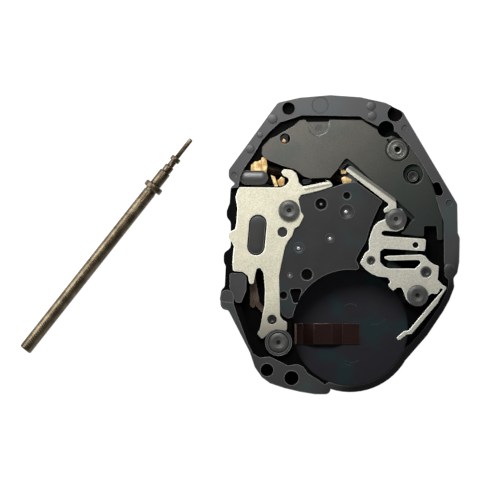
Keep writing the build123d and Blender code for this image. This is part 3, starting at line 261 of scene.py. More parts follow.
# Sheet metal: rolling grain along one way, fine pits, stains, bright edges of wear and painted highlight,
# painted shade towards one side and in crevices
def sheetMetal(name, values):
    graph = Graph(name)
    along = graph.stretched(values["stretch"], values["turn"])
    brushed = graph.noise(values["brush"], detail=3.0, rough=0.6, where=along)
    grain = graph.noise(values["grain"], rough=0.6)
    stain = graph.noise(values["stainSize"], detail=3.0, rough=0.55)
    tint = graph.noise(values["stainSize"] * values["tintPatch"], where=graph.shifted(values["tintShift"]))
    edges = graph.edge()
    mottle = graph.swing(grain, values["mottle"]) + graph.swing(stain, values["blotch"])
    base = graph.blend(graph.maths("ADD", mottle, 0.5, clamp=True), values["dark"], values["light"])
    base = graph.blend(graph.ramp(tint, *values["tintBand"]) * values["tintShare"], base, values["tint"])
    base = graph.blend(edges * values["wearAndHighlight"], base, values["wornAndHighlight"])
    base = graph.blend(graph.paintedShade(values), base, values["paintedShadeTone"])
    rough = (values["rough"] + graph.swing(stain, values["roughSpread"])
             + graph.swing(brushed, values["roughBrush"]) - edges * values["edgePolish"])
    pits = grain * values["pitShare"] + brushed * (1.0 - values["pitShare"])
    return graph.finish({
        "Base Color": graph.creviceShaded(base, values), "Roughness": rough, "Metallic": values["metallic"],
        "Normal": graph.bump(pits, values["bump"])})


# Turned metal: stains, fine grain, pale edges of wear and painted highlight, and painted shade in crevices;
# the turning marks are in the mesh
def turnedMetal(name, values):
    graph = Graph(name)
    grain = graph.noise(values["grain"], detail=3.0, rough=0.6)
    stain = graph.noise(values["stainSize"], detail=3.0, rough=0.55)
    base = graph.blend(graph.ramp(stain, *values["stainBand"]), values["dark"], values["light"])
    base = graph.blend(graph.edge() * values["wearAndHighlight"], base, values["wornAndHighlight"])
    rough = (values["rough"] + graph.swing(stain, values["roughSpread"])
             + graph.swing(grain, values["roughGrain"]))
    return graph.finish({
        "Base Color": graph.creviceShaded(base, values), "Roughness": rough, "Metallic": values["metallic"],
        "Normal": graph.bump(grain, values["bump"])})


plasticValues = {
    "grain": 0.045 * mm, "flow": 1.6 * mm, "flowBand": (0.3, 0.7), "dark": (0.010, 0.010, 0.011),
    "light": (0.018, 0.018, 0.018), "dust": 0.35, "dustSpacing": 0.35 * mm, "dustSize": (0.08, 0.024),
    "dustPatch": 1.12 * mm, "dustBand": (0.52, 0.72), "dustTone": (0.30, 0.29, 0.27), "wearAndHighlight": 0.9,
    "deepWearAndHighlight": 0.35, "wornAndHighlight": (0.13, 0.13, 0.125), "shade": (0.0012, 0.0012, 0.0016),
    "deep": 2.25 * mm, "high": 2.40 * mm, "rough": 0.50, "roughSpread": 0.16, "roughGrain": 0.10,
    "roughDust": 0.2, "specular": 0.05, "coat": 1.0, "coatRough": 0.45, "coatIor": 1.72, "bump": 0.0016 * mm,
    "bed": 0.35 * mm, "bedFade": 0.3 * mm, "bedTone": (0.030, 0.030, 0.036),
    "bedTinge": (0.014, 0.052, 0.054), "tinge": (0.006, 0.030, 0.031), "tingeShare": 0.4,
    "tingePatch": 2.08 * mm, "tingeBand": (0.52, 0.68), "paintedShadeAlong": (0.7, -0.7, 0.0), "paintedShadeFrom": 5.6 * mm,
    "paintedShadeTo": 7.4 * mm, "paintedShadeShare": 0.9, "paintedShadeTone": (0.003, 0.003, 0.004), "crevice": 0.22 * mm,
    "creviceShadeShare": 0.8, "creviceShadeTone": (0.001, 0.001, 0.001)}
blackPlastic = mouldedPlastic("blackPlastic", plasticValues)
bridgePlastic = mouldedPlastic("bridgePlastic", {
    **plasticValues, "dark": (0.013, 0.013, 0.014), "light": (0.020, 0.020, 0.021),
    "coat": 0.45})
trainPlastic = mouldedPlastic("trainPlastic", {
    **plasticValues, "dark": (0.30, 0.29, 0.26), "light": (0.38, 0.37, 0.33), "coat": 0.3,
    "wornAndHighlight": (0.5, 0.48, 0.43), "shade": (0.34, 0.33, 0.30), "tingeShare": 0.0, "dust": 0.0,
    "bedTone": (0.34, 0.33, 0.30), "specular": 0.5, "paintedShadeShare": 0.0,
    "creviceShadeShare": 0.3, "creviceShadeTone": (0.10, 0.09, 0.07)})
# Lighter plastic for the thin raised lines: a painted highlight
markPlastic = mouldedPlastic("markPlastic", {
    **plasticValues, "dark": (0.040, 0.040, 0.040), "light": (0.060, 0.060, 0.058),
    "bedTone": (0.085, 0.090, 0.092), "creviceShadeShare": 0.0, "coat": 0.6})
# Lighter plastic for the lips on the plate's edges: a painted highlight
lipPlastic = mouldedPlastic("lipPlastic", {
    **plasticValues, "dark": (0.085, 0.085, 0.083), "light": (0.125, 0.125, 0.120),
    "creviceShadeShare": 0.0, "coat": 0.8})
# Lighter plastic for the oblong boss's crown: a painted highlight
bossPlastic = mouldedPlastic("bossPlastic", {
    **plasticValues, "dark": (0.032, 0.032, 0.029), "light": (0.048, 0.048, 0.044),
    "coatRough": 0.38})
pillPlastic = mouldedPlastic("pillPlastic", {
    **plasticValues, "dark": (0.009, 0.008, 0.007), "light": (0.016, 0.014, 0.012), "coat": 0.7})
# The board is painted near black: painted shade, where it lies under the cover
boardGreen = mouldedPlastic("boardGreen", {
    **plasticValues, "dark": (0.006, 0.017, 0.011), "light": (0.010, 0.024, 0.014),
    "wornAndHighlight": (0.05, 0.06, 0.03), "shade": (0.004, 0.009, 0.006), "coat": 0.3,
    "deep": 1.90 * mm, "high": 2.10 * mm})
chipBlack = mouldedPlastic("chipBlack", {**plasticValues, "rough": 0.55, "coat": 0.0, "specular": 0.4})
# The cover is painted darker and greener towards the lower right: a painted shade
coverValues = {
    "stretch": (1.0, 6.0, 1.0), "turn": 0.5, "brush": 0.16 * mm, "grain": 0.07 * mm, "stainSize": 2.4 * mm,
    "mottle": 1.6, "blotch": 0.9, "dark": (0.088, 0.084, 0.074), "light": (0.138, 0.131, 0.116),
    "tint": (0.065, 0.090, 0.082), "tintShare": 0.35, "tintPatch": 0.8, "tintBand": (0.50, 0.72),
    "tintShift": (0.031, 0.017, 0.0), "wornAndHighlight": (0.42, 0.41, 0.38), "wearAndHighlight": 0.6, "rough": 0.42,
    "roughSpread": 0.04, "roughBrush": 0.12, "edgePolish": 0.08, "metallic": 0.85, "bump": 0.0009 * mm,
    "pitShare": 0.6, "paintedShadeAlong": (0.7, -0.7, 0.0), "paintedShadeFrom": -6.0 * mm, "paintedShadeTo": 4.5 * mm,
    "paintedShadeShare": 0.9, "paintedShadeTone": (0.034, 0.044, 0.040), "crevice": 0.16 * mm, "creviceShadeShare": 0.7,
    "creviceShadeTone": (0.008, 0.008, 0.007)}
coverGrey = sheetMetal("coverGrey", coverValues)
# The cream sheet is painted darker towards the bottom: a painted shade
creamSteel = sheetMetal("creamSteel", {
    **coverValues, "dark": (0.56, 0.54, 0.41), "light": (0.80, 0.77, 0.61), "mottle": 2.6,
    "tint": (0.80, 0.70, 0.54), "tintShare": 0.3, "wornAndHighlight": (0.96, 0.95, 0.88), "rough": 0.56,
    "metallic": 0.55, "bump": 0.0022 * mm, "turn": 1.3, "stainSize": 1.5 * mm,
    "paintedShadeAlong": (0.0, -1.0, 0.0), "paintedShadeFrom": 3.4 * mm, "paintedShadeTo": 6.0 * mm,
    "paintedShadeTone": (0.22, 0.21, 0.17)})
greyValues = {
    **coverValues, "dark": (0.47, 0.46, 0.385), "light": (0.70, 0.69, 0.585), "mottle": 2.6,
    "tint": (0.52, 0.50, 0.40), "tintShare": 0.3, "wornAndHighlight": (0.98, 0.98, 0.94), "rough": 0.52,
    "metallic": 0.65, "bump": 0.0020 * mm, "turn": 0.2, "stainSize": 1.5 * mm, "paintedShadeShare": 0.0}
greySteel = sheetMetal("greySteel", greyValues)
# one half of the long arm is in shade, beyond a line along its middle
plusArm = {"across": (0.58, 0.814, 0.0), "middle": (370, 184.3), "nearSide": 0.03 * mm,
           "farSide": 0.06 * mm}
armMiddle = place(plusArm["middle"]).dot(Vector(plusArm["across"]))
plusSteel = sheetMetal("plusSteel", {
    **greyValues, "paintedShadeAlong": plusArm["across"], "paintedShadeFrom": armMiddle - plusArm["nearSide"],
    "paintedShadeTo": armMiddle + plusArm["farSide"], "paintedShadeShare": 0.85, "paintedShadeTone": (0.08, 0.08, 0.07)})
contactCopper = sheetMetal("contactCopper", {
    **coverValues, "dark": (0.020, 0.008, 0.007), "light": (0.045, 0.016, 0.012),
    "tint": (0.035, 0.012, 0.010), "wornAndHighlight": (0.30, 0.22, 0.18), "rough": 0.34,
    "metallic": 0.6, "paintedShadeShare": 0.0})
turnedValues = {
    "grain": 0.03 * mm, "stainSize": 0.6 * mm, "stainBand": (0.35, 0.7), "dark": (0.060, 0.062, 0.056),
    "light": (0.102, 0.104, 0.095), "wornAndHighlight": (0.20, 0.20, 0.18), "wearAndHighlight": 0.5, "rough": 0.42,
    "roughSpread": 0.12, "roughGrain": 0.08, "metallic": 0.35, "bump": 0.0008 * mm, "crevice": 0.45 * mm,
    "creviceShadeShare": 0.9, "creviceShadeTone": (0.004, 0.004, 0.004)}
rivetBlack = turnedMetal("rivetBlack", turnedValues)
studBlack = turnedMetal("studBlack", {
    **turnedValues, "dark": (0.016, 0.016, 0.015), "light": (0.036, 0.036, 0.034),
    "wornAndHighlight": (0.12, 0.12, 0.11)})
bushSteel = turnedMetal("bushSteel", {
    **turnedValues, "dark": (0.13, 0.13, 0.12), "light": (0.22, 0.22, 0.20),
    "wornAndHighlight": (0.5, 0.5, 0.46), "metallic": 0.9, "rough": 0.36, "wearAndHighlight": 0.25})
polishedSteel = turnedMetal("polishedSteel", {
    **turnedValues, "dark": (0.62, 0.61, 0.58), "light": (0.84, 0.83, 0.80),
    "wornAndHighlight": (0.95, 0.95, 0.93), "metallic": 0.8, "rough": 0.34})
leverSteel = turnedMetal("leverSteel", {
    **turnedValues, "dark": (0.13, 0.085, 0.065), "light": (0.26, 0.19, 0.15),
    "wornAndHighlight": (0.95, 0.88, 0.78), "metallic": 0.8, "rough": 0.36, "wearAndHighlight": 0.9, "creviceShadeShare": 0.5})
stemSteel = turnedMetal("stemSteel", {
    **turnedValues, "dark": (0.056, 0.042, 0.025), "light": (0.112, 0.090, 0.056),
    "wornAndHighlight": (0.27, 0.23, 0.16), "metallic": 0.9, "rough": 0.32, "wearAndHighlight": 0.35, "creviceShadeShare": 0.5})
canMetal = turnedMetal("canMetal", {
    **turnedValues, "dark": (0.45, 0.44, 0.42), "light": (0.6, 0.59, 0.57), "metallic": 1.0})
softIron = turnedMetal("softIron", {
    **turnedValues, "dark": (0.20, 0.19, 0.18), "light": (0.30, 0.29, 0.27),
    "metallic": 1.0, "rough": 0.45})
magnetGrey = turnedMetal("magnetGrey", {
    **turnedValues, "dark": (0.10, 0.10, 0.10), "light": (0.15, 0.15, 0.15), "rough": 0.5})
trainBrass = turnedMetal("trainBrass", {
    **turnedValues, "dark": (0.52, 0.38, 0.14), "light": (0.70, 0.53, 0.22),
    "wornAndHighlight": (0.9, 0.75, 0.4), "metallic": 1.0, "rough": 0.32})
terminalGold = turnedMetal("terminalGold", {
    **turnedValues, "dark": (0.50, 0.28, 0.09), "light": (1.0, 0.78, 0.40),
    "wornAndHighlight": (1.0, 0.90, 0.62), "metallic": 0.8, "stainSize": 0.35 * mm,
    "crevice": 0.1 * mm, "creviceShadeShare": 0.4, "creviceShadeTone": (0.05, 0.02, 0.01)})
coilCopper = turnedMetal("coilCopper", {
    **turnedValues, "dark": (0.009, 0.005, 0.003), "light": (0.032, 0.018, 0.010),
    "wornAndHighlight": (0.12, 0.07, 0.03), "metallic": 0.8})
print("stage: materials made")

# Edges: what is merged, flat or sharp (degrees), the room that a rounding needs in bevels, up to how many
# corners a face is measured, and the tilt and width of the faces that show wear and a painted highlight
edgeRules = {"merge": 1e-6, "flat": 0.5, "sharp": 30, "room": 3, "needs": 2.4, "corners": 40,
             "level": 0.999, "steepest": 0.1, "flattest": 0.97, "width": 0.9}


def addObject(name, mesh, material):
    made = bpy.data.objects.new(name, mesh)
    bpy.context.scene.collection.objects.link(made)
    mesh.materials.clear()
    mesh.materials.append(material)
    return made


def settled(piece):
    # applies the modifiers by taking the evaluated mesh
    bpy.context.view_layer.update()
    graph = bpy.context.evaluated_depsgraph_get()
    mesh = bpy.data.meshes.new_from_object(piece.evaluated_get(graph), preserve_all_data_layers=True,
                                           depsgraph=graph)
    piece.modifiers.clear()
    piece.data = mesh
    return piece


def meshFrom(work, name):
    mesh = bpy.data.meshes.new(name)
    work.to_mesh(mesh)
    work.free()
    return mesh


def mergedMesh(nodeName):
    work = bmesh.new()
    work.from_mesh(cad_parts[nodeName].data)
    bmesh.ops.remove_doubles(work, verts=work.verts, dist=edgeRules["merge"])
    bmesh.ops.dissolve_limit(work, angle_limit=math.radians(edgeRules["flat"]), verts=work.verts,
                             edges=work.edges)
    bmesh.ops.recalc_face_normals(work, faces=work.faces)
    return meshFrom(work, nodeName + "Merged")


def weighEdges(mesh, bevel):
    # each sharp edge is rounded by the bevel, or by what the narrower face beside it has room for
    work = bmesh.new()
    work.from_mesh(mesh)
    layer = work.edges.layers.float.new("bevel_weight_edge")
    for edge in work.edges:
        if len(edge.link_faces) != 2 or edge.calc_face_angle(0) < math.radians(edgeRules["sharp"]):
            continue
        start = edge.verts[0].co
        way = (edge.verts[1].co - start).normalized()
        room = bevel * edgeRules["room"]
        for face in edge.link_faces:
            if len(face.verts) <= edgeRules["corners"]:
                reaches = [vert.co - start for vert in face.verts]
                room = min(room, max((reach - way * reach.dot(way)).length for reach in reaches))
        edge[layer] = min(1.0, room / (bevel * edgeRules["needs"]))
    work.to_mesh(mesh)
    work.free()


def rounded(piece, bevel, segments=2, weighed=False):
    # rounds the sharp edges; level faces keep a flat shade, so that a shallow disc isn't a dent
    if bevel:
        if weighed:
            weighEdges(piece.data, bevel)
        rounding = piece.modifiers.new("rounding", "BEVEL")
        rounding.width = bevel
        rounding.segments = segments
        rounding.limit_method = "WEIGHT" if weighed else "ANGLE"
        rounding.angle_limit = math.radians(edgeRules["sharp"])
        rounding.use_clamp_overlap = not weighed
        rounding.loop_slide = not weighed
        settled(piece)
    mesh = piece.data
    wearAndHighlight = mesh.attributes.new("edgeWearAndHighlight", "FLOAT", "FACE")
    for face in mesh.polygons:
        rise = abs(face.normal.z)
        face.use_smooth = rise < edgeRules["level"]
        corners = [mesh.vertices[index].co for index in face.vertices]
        shortest = min((corners[index] - corners[index - 1]).length for index in range(len(corners)))
        tilted = edgeRules["steepest"] < rise < edgeRules["flattest"]
        wearAndHighlight.data[face.index].value = float(tilted and shortest < bevel * edgeRules["width"])
    return piece


def handed(piece, body, slot, *nodeNames):
    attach(piece, body)
    if nodeNames:
        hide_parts(*nodeNames)
    return piece


def lathe(profile, scale=mm, segments=48):
    # profile of (radius, height) pairs about Z, from the axis at one end to the axis at the other
    work = bmesh.new()
    turns = [2 * math.pi * step / segments for step in range(segments)]
    rings = []
    for radius, height in profile:
        around = turns if radius else turns[:1]
        rings.append([work.verts.new((radius * scale * math.cos(turn), radius * scale * math.sin(turn),
                                      height * scale)) for turn in around])
    for first, second in zip(rings, rings[1:]):
        for step in range(segments):
            after = (step + 1) % segments
            corners = [first[step % len(first)], second[step % len(second)],
                       second[after % len(second)], first[after % len(first)]]
            work.faces.new(list(dict.fromkeys(corners)))
    bmesh.ops.recalc_face_normals(work, faces=work.faces)
    return work


def walled(work, rings):
    # joins rings of the same number of corners into a closed body
    for low, high in zip(rings, rings[1:]):
        for index in range(len(low)):
            work.faces.new((low[index - 1], low[index], high[index], high[index - 1]))
    work.faces.new(rings[0])
    work.faces.new(rings[-1])
    bmesh.ops.recalc_face_normals(work, faces=work.faces)


def turnedTool(name, profile, scale, segments, sharpAngle, material):
    # a turned shape that a tree sets at each spot, smooth but for its sharp rings
    tool = addObject(name, meshFrom(lathe(profile, scale, segments), name), material)
    tool.data.shade_smooth()
    tool.data.set_sharp_from_angle(angle=math.radians(sharpAngle))
    return tool


def grown(name, shape, mesh, values, material):
    # runs a Geometry Nodes tree on a mesh and keeps the result
    piece = addObject(name, mesh, material)
    modifier = piece.modifiers.new("shape", "NODES")
    modifier.node_group = shape.tree
    for item in shape.tree.interface.items_tree:
        if item.in_out == "INPUT" and item.name in values:
            modifier[item.identifier] = values[item.name]
    return settled(piece)


def pointMesh(name, spots, numbers=None):
    # numbers: an attribute's name and its value at each spot
    mesh = bpy.data.meshes.new(name)
    mesh.from_pydata([tuple(spot) for spot in spots], [], [])
    for label, values in (numbers or {}).items():
        mesh.attributes.new(label, "FLOAT", "POINT").data.foreach_set("value", values)
    return mesh


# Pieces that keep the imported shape, with rounded edges: name, body, slot, material, edge radius
keptPieces = {
    "main_plate": ("mainPlateMoulding", "movement", "moulded_black", blackPlastic, 0.045),
    "train_bridge": ("trainBridgeMoulding", "movement", "bridge_black", bridgePlastic, 0.045),
    "circuit_cover": ("circuitCoverSheet", "movement", "cover_grey", coverGrey, 0.04),
    "setting_spring_plate": ("settingSpringSheet", "movement", "cream_steel", creamSteel, 0.045),
    "battery_plus_plate": ("batteryPlusSheet", "movement", "grey_steel", plusSteel, 0.045),
    "battery_minus_strip": ("batteryMinusSheet", "movement", "contact_copper", contactCopper, 0.015),
    "circuit_board": ("circuitBoardSheet", "movement", "board_green", boardGreen, 0.01),
    "circuit_chip": ("circuitChipBlock", "movement", "chip_black", chipBlack, 0.03),
    "quartz_crystal": ("crystalCan", "movement", "can_metal", canMetal, 0.0),
    "stator": ("statorSheet", "movement", "soft_iron", softIron, 0.01),
    "coil_core": ("coilCoreSheet", "movement", "soft_iron", softIron, 0.01),
    "lever_pin": ("leverPivotPin", "movement", "polished_steel", bushSteel, 0.03),
    "motion_cover": ("motionCoverSheet", "movement", "polished_steel", greySteel, 0.015),
    "motion_cover_screws": ("motionScrews", "movement", "polished_steel", polishedSteel, 0.012),
    "rotor_magnet": ("rotorMagnetDisc", "rotor", "magnet_grey", magnetGrey, 0.01),
    "rotor_pinion": ("rotorStaff", "rotor", "train_plastic", trainPlastic, 0.006),
    "fifth_wheel": ("fifthWheelDisc", "fifth", "train_plastic", trainPlastic, 0.006),
    "fifth_pinion": ("fifthStaff", "fifth", "polished_steel", polishedSteel, 0.006),
    "second_wheel": ("secondWheelDisc", "second", "train_brass", trainBrass, 0.006),
    "second_pinion": ("secondStaff", "second", "polished_steel", polishedSteel, 0.006),
    "third_wheel": ("thirdWheelDisc", "third", "train_plastic", trainPlastic, 0.006),
    "third_pinion": ("thirdStaff", "third", "polished_steel", polishedSteel, 0.006),
    "centre_wheel": ("centreWheelDisc", "centre", "train_brass", trainBrass, 0.006),
    "cannon_pinion": ("cannonPipe", "centre", "polished_steel", polishedSteel, 0.01),
    "minute_wheel": ("minuteWheelDisc", "minute", "train_plastic", trainPlastic, 0.008),
    "hour_wheel": ("hourPipeWheel", "hour", "train_brass", trainBrass, 0.01),
    "setting_wheel": ("settingWheelDisc", "setting", "polished_steel", polishedSteel, 0.008),
    "clutch_wheel": ("clutchSleeve", "clutch", "polished_steel", polishedSteel, 0.008),
    "setting_lever": ("settingLeverArm", "setting_arm", "grey_steel", leverSteel, 0.02),
    "clutch_yoke": ("clutchYokeArm", "yoke", "grey_steel", leverSteel, 0.02),
    "stop_lever": ("stopLeverArm", "stop", "grey_steel", polishedSteel, 0.015)}
weighedNodes = ("train_bridge", "circuit_cover", "setting_spring_plate", "battery_plus_plate")
for nodeName, (pieceName, body, slotName, material, bevel) in keptPieces.items():
    piece = rounded(addObject(pieceName, mergedMesh(nodeName), material), bevel * mm,
                    weighed=nodeName in weighedNodes)
    handed(piece, body, slotName, nodeName)
print("stage: mouldings, sheets and train dressed")

# Rivets: a domed head with a shallow dish and a dimple, on its shank
rivet = {"head": 0.64, "height": 0.30, "shank": 0.26, "shankLength": 0.75, "dish": 0.34, "dishLip": 0.03,
         "dishEdge": 0.0015, "dishDepth": 0.015, "dimple": 0.14, "dimpleLip": 0.04, "dimpleEdge": 0.024,
         "dimpleDepth": 0.16, "sharp": 50, "segments": 48, "turnUpTo": 6.28, "turnSeed": 3}
rivetShoulder = [(1.0, 0.50), (0.985, 0.64), (0.95, 0.76), (0.89, 0.85), (0.80, 0.92), (0.68, 0.97)]
rivetBowl = [(0.75, 0.6), (0.4, 1.0), (0, 1.0)]
rivetPlaces = [((289, 210.5), levels["pad"]), ((396, 219), levels["pad"]),
               ((417.5, 295.5), levels["pad"]), ((278.5, 342.5), levels["leftSheet"])]
dishFloor = rivet["height"] - rivet["dishDepth"]
rivetProfile = [(0, -rivet["shankLength"]), (rivet["shank"], -rivet["shankLength"]), (rivet["shank"], 0),
                (rivet["head"], 0)]
rivetProfile += [(rivet["head"] * across, rivet["height"] * up) for across, up in rivetShoulder]
rivetProfile += [(rivet["dish"] + rivet["dishLip"], rivet["height"]),
                 (rivet["dish"], rivet["height"] - rivet["dishEdge"]),
                 (rivet["dish"] - rivet["dishLip"], dishFloor),
                 (rivet["dimple"] + rivet["dimpleLip"], dishFloor),
                 (rivet["dimple"], rivet["height"] - rivet["dimpleEdge"])]
rivetProfile += [(rivet["dimple"] * across, rivet["height"] - rivet["dimpleDepth"] * down)
                 for across, down in rivetBowl]
rivetTool = turnedTool("rivetTool", rivetProfile, mm, rivet["segments"], rivet["sharp"], rivetBlack)
rivetShape = Shape("rivetHeads", {"Turn seed": "Int"})
rivetSource = rivetShape.out("GeometryNodeObjectInfo", "Geometry", None, {"Object": rivetTool})
rivetTurn = rivetShape.out("FunctionNodeRandomValue", 0, {"data_type": "FLOAT_VECTOR"}, {
    0: (0.0, 0.0, 0.0), 1: (0.0, 0.0, rivet["turnUpTo"]), "Seed": rivetShape.input("Turn seed")})
rivetShape.close(rivetShape.strewn(rivetSource, {"Rotation": rivetTurn}), rivetBlack)
rivetSpots = pointMesh("rivetSpots", [place(*entry) for entry in rivetPlaces])
rivets = grown("plateRivetHeads", rivetShape, rivetSpots, {"Turn seed": rivet["turnSeed"]}, rivetBlack)
bpy.data.objects.remove(rivetTool)
handed(rivets, "movement", "rivet_black", "plate_rivets")

# Bush in the cover: stepped rim, annular groove and a bore
bush = {"head": 0.63, "rim": 0.15, "shoulder": 0.605, "shoulderRise": 0.19, "top": 0.57, "height": 0.22,
        "shank": 0.34, "shankLength": 0.90, "grooveOut": 0.47, "grooveLip": 0.02, "grooveDepth": 0.07,
        "grooveIn": 0.29, "ringLip": 0.03, "ringEdge": 0.01, "ringCrown": 0.005, "bore": 0.16,
        "boreEdge": 0.04, "boreDepth": 0.50, "pixel": (397.5, 149.5), "segments": 64, "bevel": 0.012}
grooveFloor = bush["height"] - bush["grooveDepth"]
boreFloor = bush["height"] - bush["boreDepth"]
bushProfile = [
    (0, -bush["shankLength"]), (bush["shank"], -bush["shankLength"]), (bush["shank"], 0), (bush["head"], 0),
    (bush["head"], bush["rim"]), (bush["shoulder"], bush["shoulderRise"]), (bush["top"], bush["height"]),
    (bush["grooveOut"] + bush["grooveLip"], bush["height"]),
    (bush["grooveOut"], bush["height"] - bush["grooveLip"]),
    (bush["grooveOut"] - bush["grooveLip"], grooveFloor), (bush["grooveIn"] + bush["ringLip"], grooveFloor),
    (bush["grooveIn"], bush["height"] - bush["ringEdge"]),
    (bush["grooveIn"] - bush["ringLip"], bush["height"] + bush["ringCrown"]),
    (bush["bore"] + bush["ringLip"], bush["height"] - bush["ringCrown"]),
    (bush["bore"], bush["height"] - bush["boreEdge"]), (bush["bore"], boreFloor), (0, boreFloor)]
bushWork = lathe(bushProfile, mm, bush["segments"])
bmesh.ops.translate(bushWork, verts=bushWork.verts, vec=place(bush["pixel"], levels["cover"]))
bushPiece = addObject("coverBushHead", meshFrom(bushWork, "coverBush"), bushSteel)
handed(rounded(bushPiece, bush["bevel"] * mm), "movement", "dark_steel", "cover_bush")
print("stage: rivets and bush made")

# Thin raised lines: moulding marks on the rim, collars round the pivots, arcs on the recess's floor and
# the lip of the cover's flap, each lighter than what carries it, a painted highlight. Each: across, down and
# radius in pixels, and where it starts, in degrees
raisedLines = {
    "rimMouldingMarks": {
        "lines": [(320, 105, 8, 0), (404.5, 128.5, 3.6, 0), (234, 175, 3.2, 0), (449, 203, 3.6, 0)],
        "level": levels["rim"], "sweep": 360, "line": 0.024, "slot": "moulded_black", "look": markPlastic},
    "bridgePivotCollars": {
        "lines": [(298.8, 248, 5.6, 0), (330, 238.3, 4.6, 0), (290, 275.5, 2.6, 0), (347, 211.7, 7.4, 0)],
        "level": levels["bridge"], "sweep": 360, "line": 0.026, "slot": "bridge_black", "look": markPlastic},
    "recessFloorArcs": {
        "lines": [(351, 313, 9, 50), (375, 312, 13, 250), (352, 352, 11, 230), (349.5, 361, 5, 210)],
        "level": 0.302, "sweep": 80, "line": 0.022, "slot": "moulded_black", "look": markPlastic},
    "coverFlapLip": {
        "lines": [(318.5, 123.5, 12, 215)],
        "level": 2.485, "sweep": 110, "line": 0.045, "slot": "dark_steel", "look": bushSteel}}
arcSteps = 40


def traced(name, values):
    shape = Shape(name, {"Unit": "Float", "Sweep": "Float", "Line": "Float"})
    arc = shape.out("GeometryNodeCurveArc", 0, {"mode": "RADIUS"}, {
        "Resolution": arcSteps, "Radius": 1.0, "Start Angle": 0.0, "Sweep Angle": shape.input("Sweep")})
    turn = shape.out("ShaderNodeCombineXYZ", 0, None, {"Z": shape.attribute("turn")})
    laid = shape.strewn(arc, {"Scale": shape.attribute("size") * shape.input("Unit"), "Rotation": turn})
    loose = shape.out("GeometryNodeRealizeInstances", 0, None, {0: laid})
    shape.close(shape.swept(loose, shape.input("Line")), values["look"])
    spots = [place(line[:2], values["level"]) for line in values["lines"]]
    numbers = {"size": [line[2] for line in values["lines"]],
               "turn": [math.radians(line[3]) for line in values["lines"]]}
    sizes = {"Unit": acrossPerPixel, "Sweep": math.radians(values["sweep"]), "Line": values["line"] * mm}
    piece = grown(name, shape, pointMesh(name + "Spots", spots, numbers), sizes, values["look"])
    piece.data.shade_smooth()
    return piece


for name, values in raisedLines.items():
    handed(traced(name, values), "movement", values["slot"])

# Polished tips of the staffs, domed above the bridge: the dome's outline and each tip's radius
tipProfile = [(0, -0.30), (1.0, -0.30), (1.0, 0), (0.92, 0.22), (0.76, 0.40), (0.52, 0.54), (0.26, 0.62),
              (0, 0.64)]
staffTips = {"second": 0.095, "third": 0.085, "fifth": 0.110}
tipSegments = 24
for body, radius in staffTips.items():
    low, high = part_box(body + "_pinion")
    tip = lathe(tipProfile, radius * mm, tipSegments)
    bmesh.ops.translate(tip, verts=tip.verts, vec=((low[0] + high[0]) / 2, (low[1] + high[1]) / 2, high[2]))
    tipPiece = addObject(body + "PivotTip", meshFrom(tip, body + "PivotTip"), polishedSteel)
    tipPiece.data.shade_smooth()
    handed(tipPiece, body, "polished_steel")

# Heads on the locating studs and the lever's pin, with a ring round a dished middle, and buttons on the
# rim: outlines in shares of the radius, then each head's across, down and radius in pixels, and its level
studCap = {"ring": 0.62, "ringRise": 0.20, "dish": 0.45, "dishRise": 0.04, "middle": 0.20,
           "middleRise": 0.14}
capProfile = [(0, -0.20), (0.98, -0.20), (1.0, 0), (0.92, 0.18), (studCap["ring"], studCap["ringRise"]),
              (studCap["dish"], studCap["dishRise"]), (studCap["middle"] + 0.04, 0.03),
              (studCap["middle"], studCap["middleRise"]), (0, 0.17)]
studHeads = [(371, 260.5, 3.4, levels["pad"]), (426, 272, 4.6, levels["pad"]),
             (413, 176.5, 4.8, levels["cover"]), (272, 319.5, 3.6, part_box("lever_pin")[1][2] / mm)]
buttonProfile = [(0, -0.10), (1.0, -0.10), (1.0, 0.06), (0.93, 0.14), (0.84, 0.16), (0, 0.17)]
rimButtons = [(across, down, radius, levels["rim"]) for across, down, radius in (
    (272.5, 119, 5), (260, 135, 3), (250, 149, 4.4), (371, 106, 4.7), (372, 116, 4.7), (449, 269, 5))]
headSegments, headSharp = 36, 55


def stamped(name, profile, heads, material):
    # one turned shape set at each spot
    tool = turnedTool(name + "Tool", profile, 1.0, headSegments, headSharp, material)
    shape = Shape(name, {"Unit": "Float"})
    source = shape.out("GeometryNodeObjectInfo", "Geometry", None, {"Object": tool})
    shape.close(shape.strewn(source, {"Scale": shape.attribute("size") * shape.input("Unit")}), material)
    spots = [place(head[:2], head[3]) for head in heads]
    piece = grown(name, shape, pointMesh(name + "Spots", spots, {"size": [head[2] for head in heads]}),
                  {"Unit": acrossPerPixel}, material)
    bpy.data.objects.remove(tool)
    return piece


handed(stamped("locatingStudHeads", capProfile, studHeads, studBlack), "movement", "rivet_black")
handed(stamped("rimButtons", buttonProfile, rimButtons, blackPlastic), "movement", "moulded_black")

# Crowned tops of the oblong boss and the pill boss: a dome over the line between two pixels; the oblong
# boss's crown is lighter than the plate, a painted highlight
crowns = {
    "oblongBossCrown": {"ends": [(261, 177.5), (246.5, 177.5)], "radius": 0.385, "level": 2.445,
                        "rise": 0.15, "plastic": bossPlastic},
    "pillBossCrown": {"ends": [(256, 246.5), (258, 223.5)], "radius": 0.42, "level": 2.535,
                      "rise": 0.025, "plastic": pillPlastic}}
crownRings = (1.0, 0.98, 0.93, 0.84, 0.70, 0.50, 0.25, 0.05)
crownFoot = 0.3
crownSteps = 12


